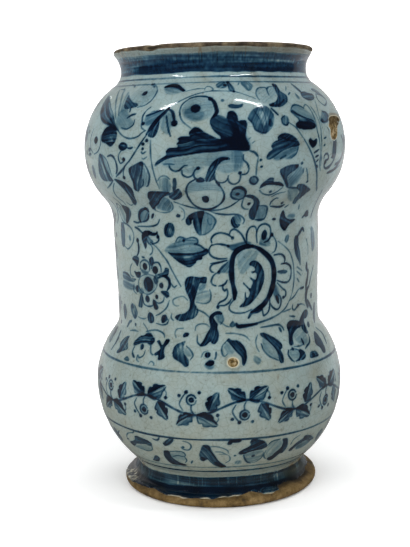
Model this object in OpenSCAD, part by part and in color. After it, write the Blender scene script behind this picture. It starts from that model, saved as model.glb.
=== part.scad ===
// Albarello: a wheel-thrown drug jar with two bulbs and a drawn-in waist.
// A fired clay body carries a white glaze outside and another inside. The broad blue
// bands and the thin blue lines are rings of pigment that lie flush in the outer glaze.
// Millimetres, +Z up, origin at the middle of the face that the foot stands on.

/* [Jar] */
// Overall height, from the face under the foot to the top of the lip
jar_h = 260; // [250:1:300]
// Thickness of the fired clay wall
clay_t = 4.6; // [3.6:0.1:6.5]
// Thickness of the glaze on the outside
outer_glaze_t = 0.6; // [0.4:0.05:1]
// Thickness of the glaze on the inside
inner_glaze_t = 0.4; // [0.3:0.05:0.8]

/* [Foot] */
// Diameter over the edge of the foot
foot_d = 118; // [112:1:122]
// Diameter at the hollow above the foot
foot_neck_d = 102; // [98:1:108]
// Radius of the hollow curve that spreads into the foot
foot_flare_r = 8; // [6.5:0.5:12]
// Radius of the rounded edge of the foot
foot_round_r = 2.5; // [1.5:0.1:3.5]
// Height of the bare clay left between the rounded edge and the glaze
foot_bare_h = 0.4; // [0.2:0.1:2]
// Width of the flat ring that the jar stands on
foot_ring_w = 10; // [6:0.5:16]
// Depth of the shallow dish turned under the base
base_dish_h = 1.6; // [0.8:0.1:3]
// Height of the inside floor above the standing face
floor_h = 10; // [8:0.5:14]
// Radius in the corner between the floor and the wall
floor_fillet_r = 10; // [6:0.5:14]

/* [Belly] */
// Diameter at the widest part of the lower bulb
belly_d = 149; // [140:1:158]
// Height of the widest part of the lower bulb
belly_z = 64; // [58:1:70]
// Share of the curve under the belly that bulges
belly_low_fullness = 0.9; // [0.6:0.01:0.93]
// Share of the curve over the belly that bulges
belly_top_fullness = 0.79; // [0.5:0.01:0.88]

/* [Waist] */
// Diameter at the lower end of the waist
waist_low_d = 121; // [112:1:126]
// Height of the lower end of the waist
waist_low_z = 104; // [98:1:112]
// Diameter at the upper end of the waist
waist_top_d = 123; // [114:1:128]
// Height of the upper end of the waist
waist_top_z = 161; // [148:1:166]

/* [Shoulder] */
// Diameter at the widest part of the upper bulb
shoulder_d = 155; // [146:1:164]
// Height of the widest part of the upper bulb
shoulder_z = 203; // [196:1:208]
// Share of the curve under the shoulder that bulges
shoulder_low_fullness = 0.67; // [0.4:0.01:0.85]
// Share of the curve over the shoulder that bulges
shoulder_top_fullness = 0.81; // [0.5:0.01:0.88]

/* [Neck and lip] */
// Diameter at the narrowest part of the neck
neck_d = 109; // [104:1:113]
// Diameter over the lip
lip_d = 117; // [115:1:123]
// Thickness of the rounded lip
lip_t = 4; // [3:0.1:5]
// Radius of the hollow curve that spreads into the lip
lip_flare_r = 13; // [10:0.5:18]

/* [Painted rings] */
// Depth to which the blue pigment sinks into the outer glaze
pigment_t = 0.2; // [0.1:0.05:0.3]
// Hairline left between a painted ring and the glaze that it lies in
ring_gap = 0.02; // [0.01:0.01:0.04]
// Height of the upper edge of the broad band on the foot
foot_band_top = 16.5; // [13:0.1:18]
// Height of the lower of the two lines above the foot
foot_line_z = 21; // [19.5:0.1:23]
// Width of a thin painted line
line_w = 0.9; // [0.6:0.1:1.2]
// Distance between the two lines above the foot
foot_line_gap = 4.2; // [2.5:0.1:7]
// Distance between the two lines on the shoulder
shoulder_line_gap = 3.2; // [2.2:0.1:6]
// Height of the plain field between the two lines on the belly
field_h = 37.5; // [28:0.5:44]
// Drop of the middle of that field below the widest part of the belly
field_drop = 0.2; // [-4:0.1:4]
// Distance from the top of the lip down to the broad band on the neck
neck_band_drop = 6.6; // [5:0.1:8]
// Height of the broad band on the neck
neck_band_h = 8.8; // [6:0.1:10]
// Distance from the top of the lip down to the pair of lines on the shoulder
shoulder_line_drop = 18.2; // [17.2:0.1:22]

/* [Hidden] */
$fn = 180;

// Turn between neighbouring points of a curve, in degrees
arc_step = 6;
// Points along the dish under the base
dish_steps = 6;
// Runs of a curve that turn less than this are left out
least_turn = 0.001;

clay_colour = "#9a7a4e";
glaze_colour = "#b9c4c6";
inside_colour = "#c4c3b4";
cobalt_colour = "#27415f";

foot_r = foot_d / 2;
foot_neck_r = foot_neck_d / 2;
lip_r = lip_d / 2;
neck_r = neck_d / 2;
lip_round_r = lip_t / 2;
clay_depth = outer_glaze_t + clay_t;
wall_t = clay_depth + inner_glaze_t;

// The outline is a chain of arcs that meet without a corner. An arc is
// [centre, radius, side, first angle, last angle]. Side is 1 where the wall bulges, with
// the centre towards the axis, and -1 where it is hollow, with the centre outside.
// Angles run from the horizontal through the centre, and height rises with the angle.
function arc_point(arc, angle, inset) =
    let (r = arc[1] - arc[2] * inset)
    arc[0] + r * [arc[2] * cos(angle), sin(angle)];

// The angle at which an arc reaches a height, kept within a quarter turn
function angle_at(arc, z) = asin(max(-1, min(1, (z - arc[0][1]) / arc[1])));

// An S-curve of two arcs from one [radius, height] up to another, upright at both ends.
// Fullness is the bulging arc's share of the two radii.
function ogee(low, top, fullness) =
    let (dr = abs(top[0] - low[0]),
         dz = top[1] - low[1],
         both = (dr * dr + dz * dz) / (2 * dr),
         turn = 2 * atan2(dr, dz),
         bulge_r = fullness * both,
         hollow_r = both - bulge_r,
         rising = top[0] > low[0])
    rising
    ? [[[low[0] + hollow_r, low[1]], hollow_r, -1, 0, turn],
       [[top[0] - bulge_r, top[1]], bulge_r, 1, -turn, 0]]
    : [[[low[0] - bulge_r, low[1]], bulge_r, 1, 0, turn],
       [[top[0] + hollow_r, top[1]], hollow_r, -1, -turn, 0]];

// The turn of a hollow flare of radius flare_r from a neck out to a rounded edge
function flare_turn(neck, edge, flare_r, round_r) =
    acos(1 - (edge - neck) / (flare_r + round_r));

foot_turn = flare_turn(foot_neck_r, foot_r, foot_flare_r, foot_round_r);
lip_turn = flare_turn(neck_r, lip_r, lip_flare_r, lip_round_r);
foot_neck_z = foot_round_r + (foot_flare_r + foot_round_r) * sin(foot_turn);
neck_z = jar_h - lip_round_r - (lip_flare_r + lip_round_r) * sin(lip_turn);

foot_round_at = [foot_r - foot_round_r, foot_round_r];
lip_round_at = [lip_r - lip_round_r, jar_h - lip_round_r];

foot_neck = [foot_neck_r, foot_neck_z];
belly = [belly_d / 2, belly_z];
waist_low = [waist_low_d / 2, waist_low_z];
waist_top = [waist_top_d / 2, waist_top_z];
shoulder = [shoulder_d / 2, shoulder_z];
neck = [neck_r, neck_z];

foot_flare = [[foot_neck_r + foot_flare_r, foot_neck_z], foot_flare_r, -1, -foot_turn, 0];
lip_flare = [[neck_r + lip_flare_r, neck_z], lip_flare_r, -1, 0, lip_turn];

wall_arcs = concat(
    ogee(foot_neck, belly, belly_low_fullness),
    ogee(belly, waist_low, belly_top_fullness),
    ogee(waist_low, waist_top, 0.5),
    ogee(waist_top, shoulder, shoulder_low_fullness),
    ogee(shoulder, neck, shoulder_top_fullness));
outline = concat([foot_flare], wall_arcs, [lip_flare]);

// The stretches of a chain of arcs between two heights, as [arc, first angle, last angle]
function runs(arcs, z0, z1) =
    [for (arc = arcs)
        let (from = max(arc[3], angle_at(arc, z0)), to = min(arc[4], angle_at(arc, z1)))
        if (to - from > least_turn) [arc, from, to]];

// Points along a list of runs, at a depth below the surface that they describe
function trace(found, inset) =
    len(found) == 0 ? [] :
    let (last = found[len(found) - 1])
    concat(
        [for (run = found)
            let (n = ceil((run[2] - run[1]) / arc_step))
            for (i = [0 : n - 1])
                arc_point(run[0], run[1] + (run[2] - run[1]) * i / n, inset)],
        [arc_point(last[0], last[2], inset)]);

// The outer surface between two heights, or the surface at a depth below it
function skin(inset, z0, z1) = trace(runs(outline, z0, z1), inset);

// Points on a full round edge, both ends included
function round_edge(centre, r, from, to) =
    let (n = ceil((to - from) / arc_step))
    [for (i = [0 : n])
        let (a = from + (to - from) * i / n)
        centre + r * [cos(a), sin(a)]];

function reversed(points) = [for (i = [len(points) - 1 : -1 : 0]) points[i]];

// The inside: the outline's arcs set in by the whole wall, from a fillet on the floor
// up to a flare that runs into the rounded lip.
inner_neck_r = neck_r - wall_t;
lip_reach = lip_round_at - [inner_neck_r, neck_z];
inner_flare_r = (lip_reach * lip_reach - lip_round_r * lip_round_r)
    / (2 * (lip_reach[0] - lip_round_r));
inner_lip_turn = atan2(lip_reach[1], inner_flare_r - lip_reach[0]);
inner_flare = [[inner_neck_r + inner_flare_r, neck_z], inner_flare_r, -1, 0, inner_lip_turn];

function set_in(arc) = [arc[0], arc[1] - arc[2] * wall_t, arc[2], arc[3], arc[4]];
inner_wall = [for (arc = wall_arcs) set_in(arc)];

heel = inner_wall[0];
fillet_z = floor_h + floor_fillet_r;
fillet_rise = fillet_z - heel[0][1];
fillet_out = sqrt(pow(heel[1] + floor_fillet_r, 2) - pow(fillet_rise, 2));
fillet_turn = atan2(fillet_rise, fillet_out);
floor_fillet = [[heel[0][0] - fillet_out, fillet_z], floor_fillet_r, 1, -90, -fillet_turn];
heel_above_fillet = [heel[0], heel[1], heel[2], fillet_turn, heel[4]];

cavity = concat([floor_fillet, heel_above_fillet],
    [for (i = [1 : len(inner_wall) - 1]) inner_wall[i]], [inner_flare]);

// The inside surface, or the surface at a depth into the wall behind it
function lining(depth) =
    concat([[0, floor_h - depth]], trace(runs(cavity, 0, jar_h), -depth));

// Heights between which the outer glaze covers the clay
glaze_low = foot_round_r * (1 + sin(foot_turn)) + foot_bare_h;
glaze_top = lip_flare[0][1] + lip_flare_r * sin(lip_turn);

// Heights of the painted rings, each as [lower edge, upper edge]
function line_at(z) = [z - line_w / 2, z + line_w / 2];
foot_band_span = [glaze_low, foot_band_top];
foot_line_spans = [line_at(foot_line_z), line_at(foot_line_z + foot_line_gap)];
field_z = belly_z - field_drop;
belly_line_spans = [line_at(field_z - field_h / 2), line_at(field_z + field_h / 2)];
shoulder_line_z = jar_h - shoulder_line_drop;
shoulder_line_spans = [line_at(shoulder_line_z - shoulder_line_gap), line_at(shoulder_line_z)];
neck_band_top = jar_h - neck_band_drop;
neck_band_span = [neck_band_top - neck_band_h, neck_band_top];
painted = concat([foot_band_span], foot_line_spans, belly_line_spans,
    shoulder_line_spans, [neck_band_span]);

// The face of the outer glaze, stepped in under each painted ring
function glaze_face() =
    [for (i = [0 : len(painted)])
        let (from = i == 0 ? glaze_low : painted[i - 1][1],
             to = i == len(painted) ? glaze_top : painted[i][0])
        each concat(
            skin(0, from, to),
            i == len(painted) ? [] : skin(pigment_t, painted[i][0], painted[i][1]))];

// The dish under the base, from the axis out to the standing ring
dish_r = foot_round_at[0] - foot_ring_w;
function base_dish() =
    [for (i = [0 : dish_steps])
        let (share = i / dish_steps)
        [dish_r * share, base_dish_h * (1 - share * share)]];

module turned(points) {
    rotate_extrude() polygon(points);
}

// Thrown earthenware: foot, wall, floor and lip in one piece, bare at the foot and lip
module clay_body() {
    color(clay_colour)
    turned(concat(
        base_dish(),
        round_edge(foot_round_at, foot_round_r, -90, foot_turn),
        skin(0, 0, glaze_low),
        skin(outer_glaze_t, glaze_low, glaze_top),
        round_edge(lip_round_at, lip_round_r, -lip_turn, 180 - inner_lip_turn),
        reversed(lining(inner_glaze_t))));
}

// Tin glaze from above the foot to below the lip
module outer_glaze() {
    color(glaze_colour)
    turned(concat(glaze_face(), reversed(skin(outer_glaze_t, glaze_low, glaze_top))));
}

// Glaze over the inside wall and floor
module inner_glaze() {
    color(inside_colour)
    turned(concat(lining(inner_glaze_t), reversed(lining(0))));
}

// Rings of blue pigment, flush with the face of the outer glaze
module painted_rings(spans) {
    color(cobalt_colour)
    for (span = spans)
        let (from = span[0] + ring_gap, to = span[1] - ring_gap)
        turned(concat(
            skin(0, from, to),
            reversed(skin(pigment_t - ring_gap, from, to))));
}

module neck_band() { painted_rings([neck_band_span]); }
module shoulder_lines() { painted_rings(shoulder_line_spans); }
module belly_lines() { painted_rings(belly_line_spans); }
module foot_lines() { painted_rings(foot_line_spans); }
module foot_band() { painted_rings([foot_band_span]); }

clay_body();
outer_glaze();
inner_glaze();
neck_band();
shoulder_lines();
belly_lines();
foot_lines();
foot_band();
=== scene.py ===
"""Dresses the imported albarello: a thrown, tin-glazed drug jar painted in cobalt, with its studio and camera."""

import logging
import math
from collections.abc import Iterable
from dataclasses import dataclass, field
from enum import Enum
from typing import Any

import bpy
import numpy as np
from mathutils import Matrix


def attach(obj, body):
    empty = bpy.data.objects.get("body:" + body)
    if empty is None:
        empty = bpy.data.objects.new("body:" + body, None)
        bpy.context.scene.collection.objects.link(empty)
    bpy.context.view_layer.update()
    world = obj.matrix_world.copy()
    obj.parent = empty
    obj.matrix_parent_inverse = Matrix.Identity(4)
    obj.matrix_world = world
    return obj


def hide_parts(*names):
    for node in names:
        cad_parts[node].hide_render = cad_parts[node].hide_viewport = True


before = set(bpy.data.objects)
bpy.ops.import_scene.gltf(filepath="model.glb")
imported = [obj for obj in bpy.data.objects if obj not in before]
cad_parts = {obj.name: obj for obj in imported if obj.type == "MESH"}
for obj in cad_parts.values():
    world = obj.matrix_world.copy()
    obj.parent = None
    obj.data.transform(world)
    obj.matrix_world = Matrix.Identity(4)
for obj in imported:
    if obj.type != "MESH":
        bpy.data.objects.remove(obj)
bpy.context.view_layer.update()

MM = 0.001
# Most cobalt that a place on the glaze holds, where 1 is a full brush
COBALT_MOST = 1.4
# Share of the clay that shows where the glaze has flaked
FLAKE_BARE = 0.42
# Degrees of turn in each mm round the wall, and the bulbs' radius in mm, for dabs and leaves
DEGREES_PER_MM = 52.0 / 60.0
BULB_R = 74.0
log = logging.getLogger("albarello")


def to_linear(hex_colour: str) -> np.ndarray:
    """Turns an sRGB hex colour into linear light.

    Args:
        hex_colour: six hex digits after a hash.

    Returns:
        Three linear values from 0 to 1.
    """
    c = np.array([int(hex_colour[i:i + 2], 16) for i in (1, 3, 5)]) / 255.0
    return np.where(c <= 0.04045, c / 12.92, ((c + 0.055) / 1.055) ** 2.4)


def rgba(hex_colour: str) -> tuple[float, ...]:
    """An sRGB hex colour as a linear colour socket's four values."""
    return (*to_linear(hex_colour), 1.0)


def ease(x: np.ndarray) -> np.ndarray:
    """A smooth step from 0 to 1 over x from 0 to 1."""
    x = np.clip(x, 0.0, 1.0)
    return x * x * (3.0 - 2.0 * x)


def through(x: np.ndarray, knots: Iterable[tuple[float, float]]) -> np.ndarray:
    """A curve through knots, level at each one.

    Args:
        x: places to read it at.
        knots: pairs of place and value, in order of place.

    Returns:
        The value at each place; between two knots it follows a smooth step.
    """
    at, value = np.array(list(knots), float).T
    x = np.clip(x, at[0], at[-1])
    i = np.clip(np.searchsorted(at, x, side="right") - 1, 0, len(at) - 2)
    t = ease((x - at[i]) / (at[i + 1] - at[i]))
    return value[i] + (value[i + 1] - value[i]) * t


def smooth_path(points: np.ndarray, closed: bool, steps: int = 7) -> np.ndarray:
    """A Catmull-Rom curve through points.

    Args:
        points: (n, 2) places that it passes through.
        closed: whether its end joins its start.
        steps: samples from one place to the next.

    Returns:
        (m, 2) places along the curve.
    """
    n = len(points)
    if closed:
        p0, p1, p2, p3 = (np.roll(points, k, axis=0) for k in (1, 0, -1, -2))
    else:
        ends = np.concatenate([[2 * points[0] - points[1]], points, [2 * points[-1] - points[-2]]])
        p0, p1, p2, p3 = (ends[k:k + n - 1] for k in range(4))
    t = np.linspace(0, 1, steps, endpoint=False)[None, :, None]
    p0, p1, p2, p3 = (p[:, None, :] for p in (p0, p1, p2, p3))
    curve = 0.5 * (2 * p1 + (p2 - p0) * t + (2 * p0 - 5 * p1 + 4 * p2 - p3) * t ** 2
                   + (3 * p1 - p0 - 3 * p2 + p3) * t ** 3)
    curve = curve.reshape(-1, 2)
    return curve if closed else np.concatenate([curve, points[-1:]])


# Shape of the thrown jar


@dataclass
class Outline:
    """The jar's profile, a chain of tangent arcs in mm; s is the length along its outside from under the foot."""

    jar_h: float = 260.0
    foot_r: float = 59.0
    foot_neck_r: float = 51.0
    foot_flare_r: float = 8.0
    foot_round_r: float = 2.5
    foot_ring_w: float = 10.0
    base_dish_h: float = 1.6
    belly: tuple[float, float, float, float] = (74.5, 64.0, 0.9, 0.79)
    waist_low: tuple[float, float] = (60.5, 104.0)
    waist_top: tuple[float, float] = (61.5, 161.0)
    shoulder: tuple[float, float, float, float] = (77.5, 203.0, 0.67, 0.81)
    neck_r: float = 54.5
    lip_r: float = 58.5
    lip_round_r: float = 2.0
    lip_flare_r: float = 13.0
    wall_t: float = 5.6
    floor_h: float = 10.0
    floor_fillet_r: float = 10.0
    table: np.ndarray = field(init=False, repr=False)

    def __post_init__(self) -> None:
        """Works out the flares and the table of places along the outside."""
        self.foot_turn = self.flare_turn(self.foot_neck_r, self.foot_r, self.foot_flare_r, self.foot_round_r)
        self.lip_turn = self.flare_turn(self.neck_r, self.lip_r, self.lip_flare_r, self.lip_round_r)
        self.foot_neck_z = self.foot_round_r + (self.foot_flare_r + self.foot_round_r) * math.sin(self.foot_turn)
        self.neck_z = self.jar_h - self.lip_round_r - (self.lip_flare_r + self.lip_round_r) * math.sin(self.lip_turn)
        foot_edge = (self.foot_r - self.foot_round_r, self.foot_round_r, self.foot_round_r, 1, -math.pi / 2,
                     self.foot_turn)
        foot_flare = (self.foot_neck_r + self.foot_flare_r, self.foot_neck_z, self.foot_flare_r, -1, -self.foot_turn, 0)
        lip_flare = (self.neck_r + self.lip_flare_r, self.neck_z, self.lip_flare_r, -1, 0, self.lip_turn)
        lip_edge = (self.lip_r - self.lip_round_r, self.jar_h - self.lip_round_r, self.lip_round_r, 1, -self.lip_turn,
                    math.pi / 2)
        foot, neck = (self.foot_neck_r, self.foot_neck_z), (self.neck_r, self.neck_z)
        self.wall = [*self.ogee(foot, self.belly, self.belly[2]), *self.ogee(self.belly, self.waist_low, self.belly[3]),
                     *self.ogee(self.waist_low, self.waist_top, 0.5),
                     *self.ogee(self.waist_top, self.shoulder, self.shoulder[2]),
                     *self.ogee(self.shoulder, neck, self.shoulder[3])]
        self.table = self.trace([foot_edge, foot_flare, *self.wall, lip_flare, lip_edge])
        self.length = self.table[-1, 0]

    @staticmethod
    def flare_turn(neck: float, edge: float, flare_r: float, round_r: float) -> float:
        """The angle that a hollow flare turns from a neck out to a rounded edge."""
        return math.acos(1 - (edge - neck) / (flare_r + round_r))

    @staticmethod
    def ogee(low: tuple[float, ...], top: tuple[float, ...], fullness: float) -> list[tuple[float, ...]]:
        """Two tangent arcs, one hollow and one bulging, that leave and arrive upright.

        Args:
            low: radius and height of the lower end.
            top: radius and height of the upper end.
            fullness: share of the summed radii that the bulging arc has.

        Returns:
            Two arcs as centre radius, centre height, radius, side, first angle and last angle.
        """
        dr, dz = abs(top[0] - low[0]), top[1] - low[1]
        both, turn = (dr * dr + dz * dz) / (2 * dr), 2 * math.atan2(dr, dz)
        bulge, hollow = fullness * both, (1 - fullness) * both
        if top[0] > low[0]:
            return [(low[0] + hollow, low[1], hollow, -1, 0, turn), (top[0] - bulge, top[1], bulge, 1, -turn, 0)]
        return [(low[0] - bulge, low[1], bulge, 1, 0, turn), (top[0] + hollow, top[1], hollow, -1, -turn, 0)]

    @staticmethod
    def trace(arcs: Iterable[tuple[float, ...]], count: int = 160) -> np.ndarray:
        """Points along a chain of arcs: the centre plus the radius times the cosine and sine of a running angle.

        Args:
            arcs: the arcs, in order.
            count: points on each arc.

        Returns:
            Rows of length, radius, height, and the outward normal's two parts.
        """
        a = np.array(list(arcs), float)
        t = np.linspace(0, 1, count)
        angle = a[:, 4:5] + (a[:, 5:6] - a[:, 4:5]) * t
        start = np.concatenate([[0], np.cumsum(a[:, 2] * (a[:, 5] - a[:, 4]))[:-1]])[:, None]
        s = start + a[:, 2:3] * (angle - a[:, 4:5])
        r = a[:, 0:1] + a[:, 3:4] * a[:, 2:3] * np.cos(angle)
        z = a[:, 1:2] + a[:, 2:3] * np.sin(angle)
        return np.stack([s, r, z, np.cos(angle), a[:, 3:4] * np.sin(angle)], -1).reshape(-1, 5)

    def at(self, s: np.ndarray) -> tuple[np.ndarray, ...]:
        """Radius, height and the normal's two parts at lengths s along the outside."""
        return tuple(np.interp(s, self.table[:, 0], self.table[:, k]) for k in (1, 2, 3, 4))

    def cavity(self) -> tuple[np.ndarray, float]:
        """The inside: the wall's arcs set in by its thickness, from a filleted floor to a flare under the lip.

        Returns:
            Rows of length, radius, height and normal from the floor upwards, and the flare's angle at the lip.
        """
        inner = [(c[0], c[1], c[2] - c[3] * self.wall_t, *c[3:]) for c in self.wall]
        neck = self.neck_r - self.wall_t
        reach = (self.lip_r - self.lip_round_r - neck, self.jar_h - self.lip_round_r - self.neck_z)
        flare_r = (reach[0] ** 2 + reach[1] ** 2 - self.lip_round_r ** 2) / (2 * (reach[0] - self.lip_round_r))
        turn = math.atan2(reach[1], flare_r - reach[0])
        heel = inner[0]
        rise = self.floor_h + self.floor_fillet_r - heel[1]
        out = math.sqrt((heel[2] + self.floor_fillet_r) ** 2 - rise ** 2)
        bend = math.atan2(rise, out)
        fillet = (heel[0] - out, self.floor_h + self.floor_fillet_r, self.floor_fillet_r, 1, -math.pi / 2, -bend)
        flare = (neck + flare_r, self.neck_z, flare_r, -1, 0, turn)
        return self.trace([fillet, (*heel[:4], bend, heel[5]), *inner[1:], flare], 40), turn


@dataclass
class Thrown:
    """What the hands and the fire did to the turned profile: ovals, rings, a drifting axis and ragged glaze edges."""

    outline: Outline
    coat_t: float = 0.6
    oval: float = 0.13
    triangle: float = 0.08
    fine_rings: float = 0.035
    slow_rings: float = 0.04
    widest_shy: float = 0.17
    ridge: float = 0.3
    bare_below: float = 8.0
    bare_above: float = 286.4
    sway: tuple[tuple[float, float], ...] = ((0, 0), (30, 0), (72, -0.1), (105, 0.35), (138, 0.1), (168, -0.2),
                                             (202, 0), (236, 0), (260, 0))
    foot_edge: tuple[tuple[float, float], ...] = (
        (-180, 7.5), (-150, 9.2), (-128, 6.4), (-108, 8.2), (-85, 4.8), (-72, 5.6), (-64, 6.2), (-53, 7.8),
        (-45, 8.6), (-40, 8), (-35, 6.6), (-27, 6.9), (-20, 6.8), (-14.5, 7.6), (-7, 7.7), (0, 8.9), (9, 9.8),
        (15, 11), (20, 11.4), (23.5, 10), (26, 8), (31, 7.4), (36, 8.4), (39, 12), (47, 12), (53, 11),
        (65, 10.6), (79, 11.4), (98, 9.4), (120, 6.2), (146, 9.4), (163, 6.8), (180, 7.5))
    lip_edge: tuple[tuple[float, float], ...] = (
        (-180, 284.5), (-140, 285.5), (-110, 284.9), (-76, 285.8), (-61, 285.5), (-48, 285.2), (-42, 284.1),
        (-36, 283.5), (-31, 284.9), (-21, 285.1), (-13, 284.7), (-4, 285.1), (3, 285.3), (14, 285.1), (26, 284.7),
        (40, 284.9), (52, 285.1), (67, 284.7), (80, 284.3), (120, 285.3), (150, 284.3), (180, 284.5))

    def place(self, theta: np.ndarray, r: np.ndarray, z: np.ndarray) -> np.ndarray:
        """Puts turned points in the frame: the radius gets a small oval, triangle and throwing rings; the axis sways.

        Args:
            theta: degrees round the jar, 0 towards -Y and growing towards +X.
            r: radius in mm.
            z: height in mm.

        Returns:
            Points in metres, with a last axis of three.
        """
        t = np.radians(theta)
        hold = ease(z / 12.0) * ease((self.outline.jar_h + 4 - z) / 16.0) * ease(r / 40.0)
        # The widest ring is left truer and a little under size, so that the paint on it stays within the turned shape
        full = np.exp(-((z - self.outline.shoulder[1]) / 15.0) ** 2)
        off = (self.oval * np.cos(2 * t + 0.9) + self.triangle * np.cos(3 * t + z / 37.0)
               + self.fine_rings * np.sin(z * 0.74 + 0.8 * np.sin(t))
               + self.slow_rings * np.sin(z * 0.31 + np.cos(2 * t))) * (1 - 0.8 * full) * hold - self.widest_shy * full
        # A finger's ridge at the top of the lower bulb
        off = off + self.ridge * np.exp(-((z - 97.0) / 2.2) ** 2 - ((theta + 24.0) / 12.0) ** 2) * hold
        lean = through(z, self.sway)
        return np.stack([(r + off) * np.sin(t) + lean, -(r + off) * np.cos(t) + 0.4 * lean, z], -1) * MM

    def edges(self, theta: np.ndarray) -> tuple[np.ndarray, np.ndarray]:
        """Where the outer glaze ends, ragged round the jar by three waves that never fall in step.

        Args:
            theta: degrees round the jar.

        Returns:
            Lengths s of its lower and upper edge.
        """
        t = np.radians((theta + 180.0) % 360.0 - 180.0)
        rag = 0.22 * np.sin(23 * t + 1) + 0.16 * np.sin(41 * t + 2) + 0.12 * np.sin(67 * t)
        return through(np.degrees(t), self.foot_edge) + rag, through(np.degrees(t), self.lip_edge) + 0.6 * rag

    def clay_depth(self, s: np.ndarray) -> np.ndarray:
        """Depth of the clay under the outline: the coat's thickness where glaze lies, none at the foot and lip."""
        return self.coat_t * ease((s - self.bare_below) / 4.0) * ease((self.bare_above - s) / 2.0)

    def glaze_depth(self, theta: np.ndarray, s: np.ndarray) -> np.ndarray:
        """Depth of the glaze's face: the clay's depth less a coat that thins to nothing at its ragged edges.

        Args:
            theta: degrees round the jar.
            s: lengths along the outside.

        Returns:
            Depth in mm under the outline.
        """
        low, top = self.edges(theta)
        coat = self.coat_t * (1 - np.exp(-np.maximum(s - low, 0) / 0.7)) * (1 - np.exp(-np.maximum(top - s, 0) / 0.5))
        return self.clay_depth(s) - coat

    def outside(self, theta: np.ndarray, s: np.ndarray, depth: np.ndarray) -> np.ndarray:
        """Points at a depth in mm under the outer outline."""
        r, z, nr, nz = self.outline.at(s)
        return self.place(theta, r - depth * nr, z - depth * nz)


# Meshes


@dataclass
class Faces:
    """A mesh as arrays: points, quads and triangles, with a UV pair for each corner."""

    points: np.ndarray
    quads: np.ndarray
    quad_uv: np.ndarray
    triangles: np.ndarray = field(default_factory=lambda: np.zeros((0, 3), int))
    triangle_uv: np.ndarray = field(default_factory=lambda: np.zeros((0, 3, 2)))
    normals: np.ndarray | None = None
    values: dict[str, np.ndarray] = field(default_factory=dict)

    def piece(self, name: str, material: bpy.types.Material, slot: str, *nodes: str) -> bpy.types.Object:
        """Makes the piece, dresses it and lets it ride on the jar's body.

        Args:
            name: the piece's name.
            material: its finish.
            slot: a material slot's name; not used.
            nodes: CAD nodes that it stands for.

        Returns:
            The new object.
        """
        mesh = bpy.data.meshes.new(name)
        corners = np.concatenate([self.quads.ravel(), self.triangles.ravel()]).astype(np.int32)
        starts = np.concatenate([np.arange(len(self.quads)) * 4,
                                 len(self.quads) * 4 + np.arange(len(self.triangles)) * 3]).astype(np.int32)
        mesh.vertices.add(len(self.points))
        mesh.vertices.foreach_set("co", self.points.astype(np.float32).ravel())
        mesh.loops.add(len(corners))
        mesh.loops.foreach_set("vertex_index", corners)
        mesh.polygons.add(len(starts))
        mesh.polygons.foreach_set("loop_start", starts)
        mesh.update(calc_edges=True)
        mesh.polygons.foreach_set("use_smooth", np.ones(len(starts), bool))
        uv = np.concatenate([self.quad_uv.reshape(-1, 2), self.triangle_uv.reshape(-1, 2)])
        mesh.uv_layers.new(name="OFBake").data.foreach_set("uv", uv.astype(np.float32).ravel())
        for key, value in self.values.items():
            mesh.attributes.new(key, "FLOAT", "POINT").data.foreach_set("value", value.astype(np.float32))
        if self.normals is not None:
            mesh.normals_split_custom_set_from_vertices(self.normals.tolist())
        mesh.materials.append(material)
        obj = bpy.data.objects.new(name, mesh)
        bpy.context.collection.objects.link(obj)
        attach(obj, "root")
        if nodes:
            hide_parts(*nodes)
        log.info("%s: %d points, %d triangles", name, len(self.points), 2 * len(self.quads) + len(self.triangles))
        return obj


def round_grid(points: np.ndarray, poles: bool) -> Faces:
    """Closes a grid of rows by columns whose columns go round.

    Args:
        points: (rows, columns, 3) places.
        poles: True where the first and last row each shrink to one point, False where the last row joins the first.

    Returns:
        The closed mesh: quads between neighbouring rows, and a fan at each pole.
    """
    rows, cols = points.shape[:2]
    j = np.arange(cols)
    jn = (j + 1) % cols
    body = points[1:-1] if poles else points
    n = len(body)
    i = np.arange(n - 1 if poles else n)[:, None]
    up = (i + 1) % n
    quads = np.stack([i * cols + j, i * cols + jn, up * cols + jn, up * cols + j], -1).reshape(-1, 4)
    u0, u1 = np.broadcast_to(j / cols, (len(i), cols)), np.broadcast_to((j + 1) / cols, (len(i), cols))
    v0, v1 = np.broadcast_to((i + poles) / rows, u0.shape), np.broadcast_to((i + 1 + poles) / rows, u0.shape)
    quad_uv = np.stack([np.stack(c, -1) for c in ((u0, v0), (u1, v0), (u1, v1), (u0, v1))], -2).reshape(-1, 4, 2)
    if not poles:
        return Faces(body.reshape(-1, 3), quads, quad_uv)
    flat = np.concatenate([body.reshape(-1, 3), points[:1, 0], points[-1:, 0]])
    south, north, last = np.full(cols, n * cols), np.full(cols, n * cols + 1), (n - 1) * cols
    triangles = np.concatenate([np.stack([jn, j, south], -1), np.stack([last + j, last + jn, north], -1)])
    a, b, m = j / cols, (j + 1) / cols, (j + 0.5) / cols
    low, high = np.full(cols, 1 / rows), np.full(cols, 1 - 1 / rows)
    triangle_uv = np.concatenate([
        np.stack([np.stack(c, -1) for c in ((b, low), (a, low), (m, 0 * m))], -2),
        np.stack([np.stack(c, -1) for c in ((a, high), (b, high), (m, 0 * m + 1))], -2)])
    return Faces(flat, quads, quad_uv, triangles, triangle_uv)


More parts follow.
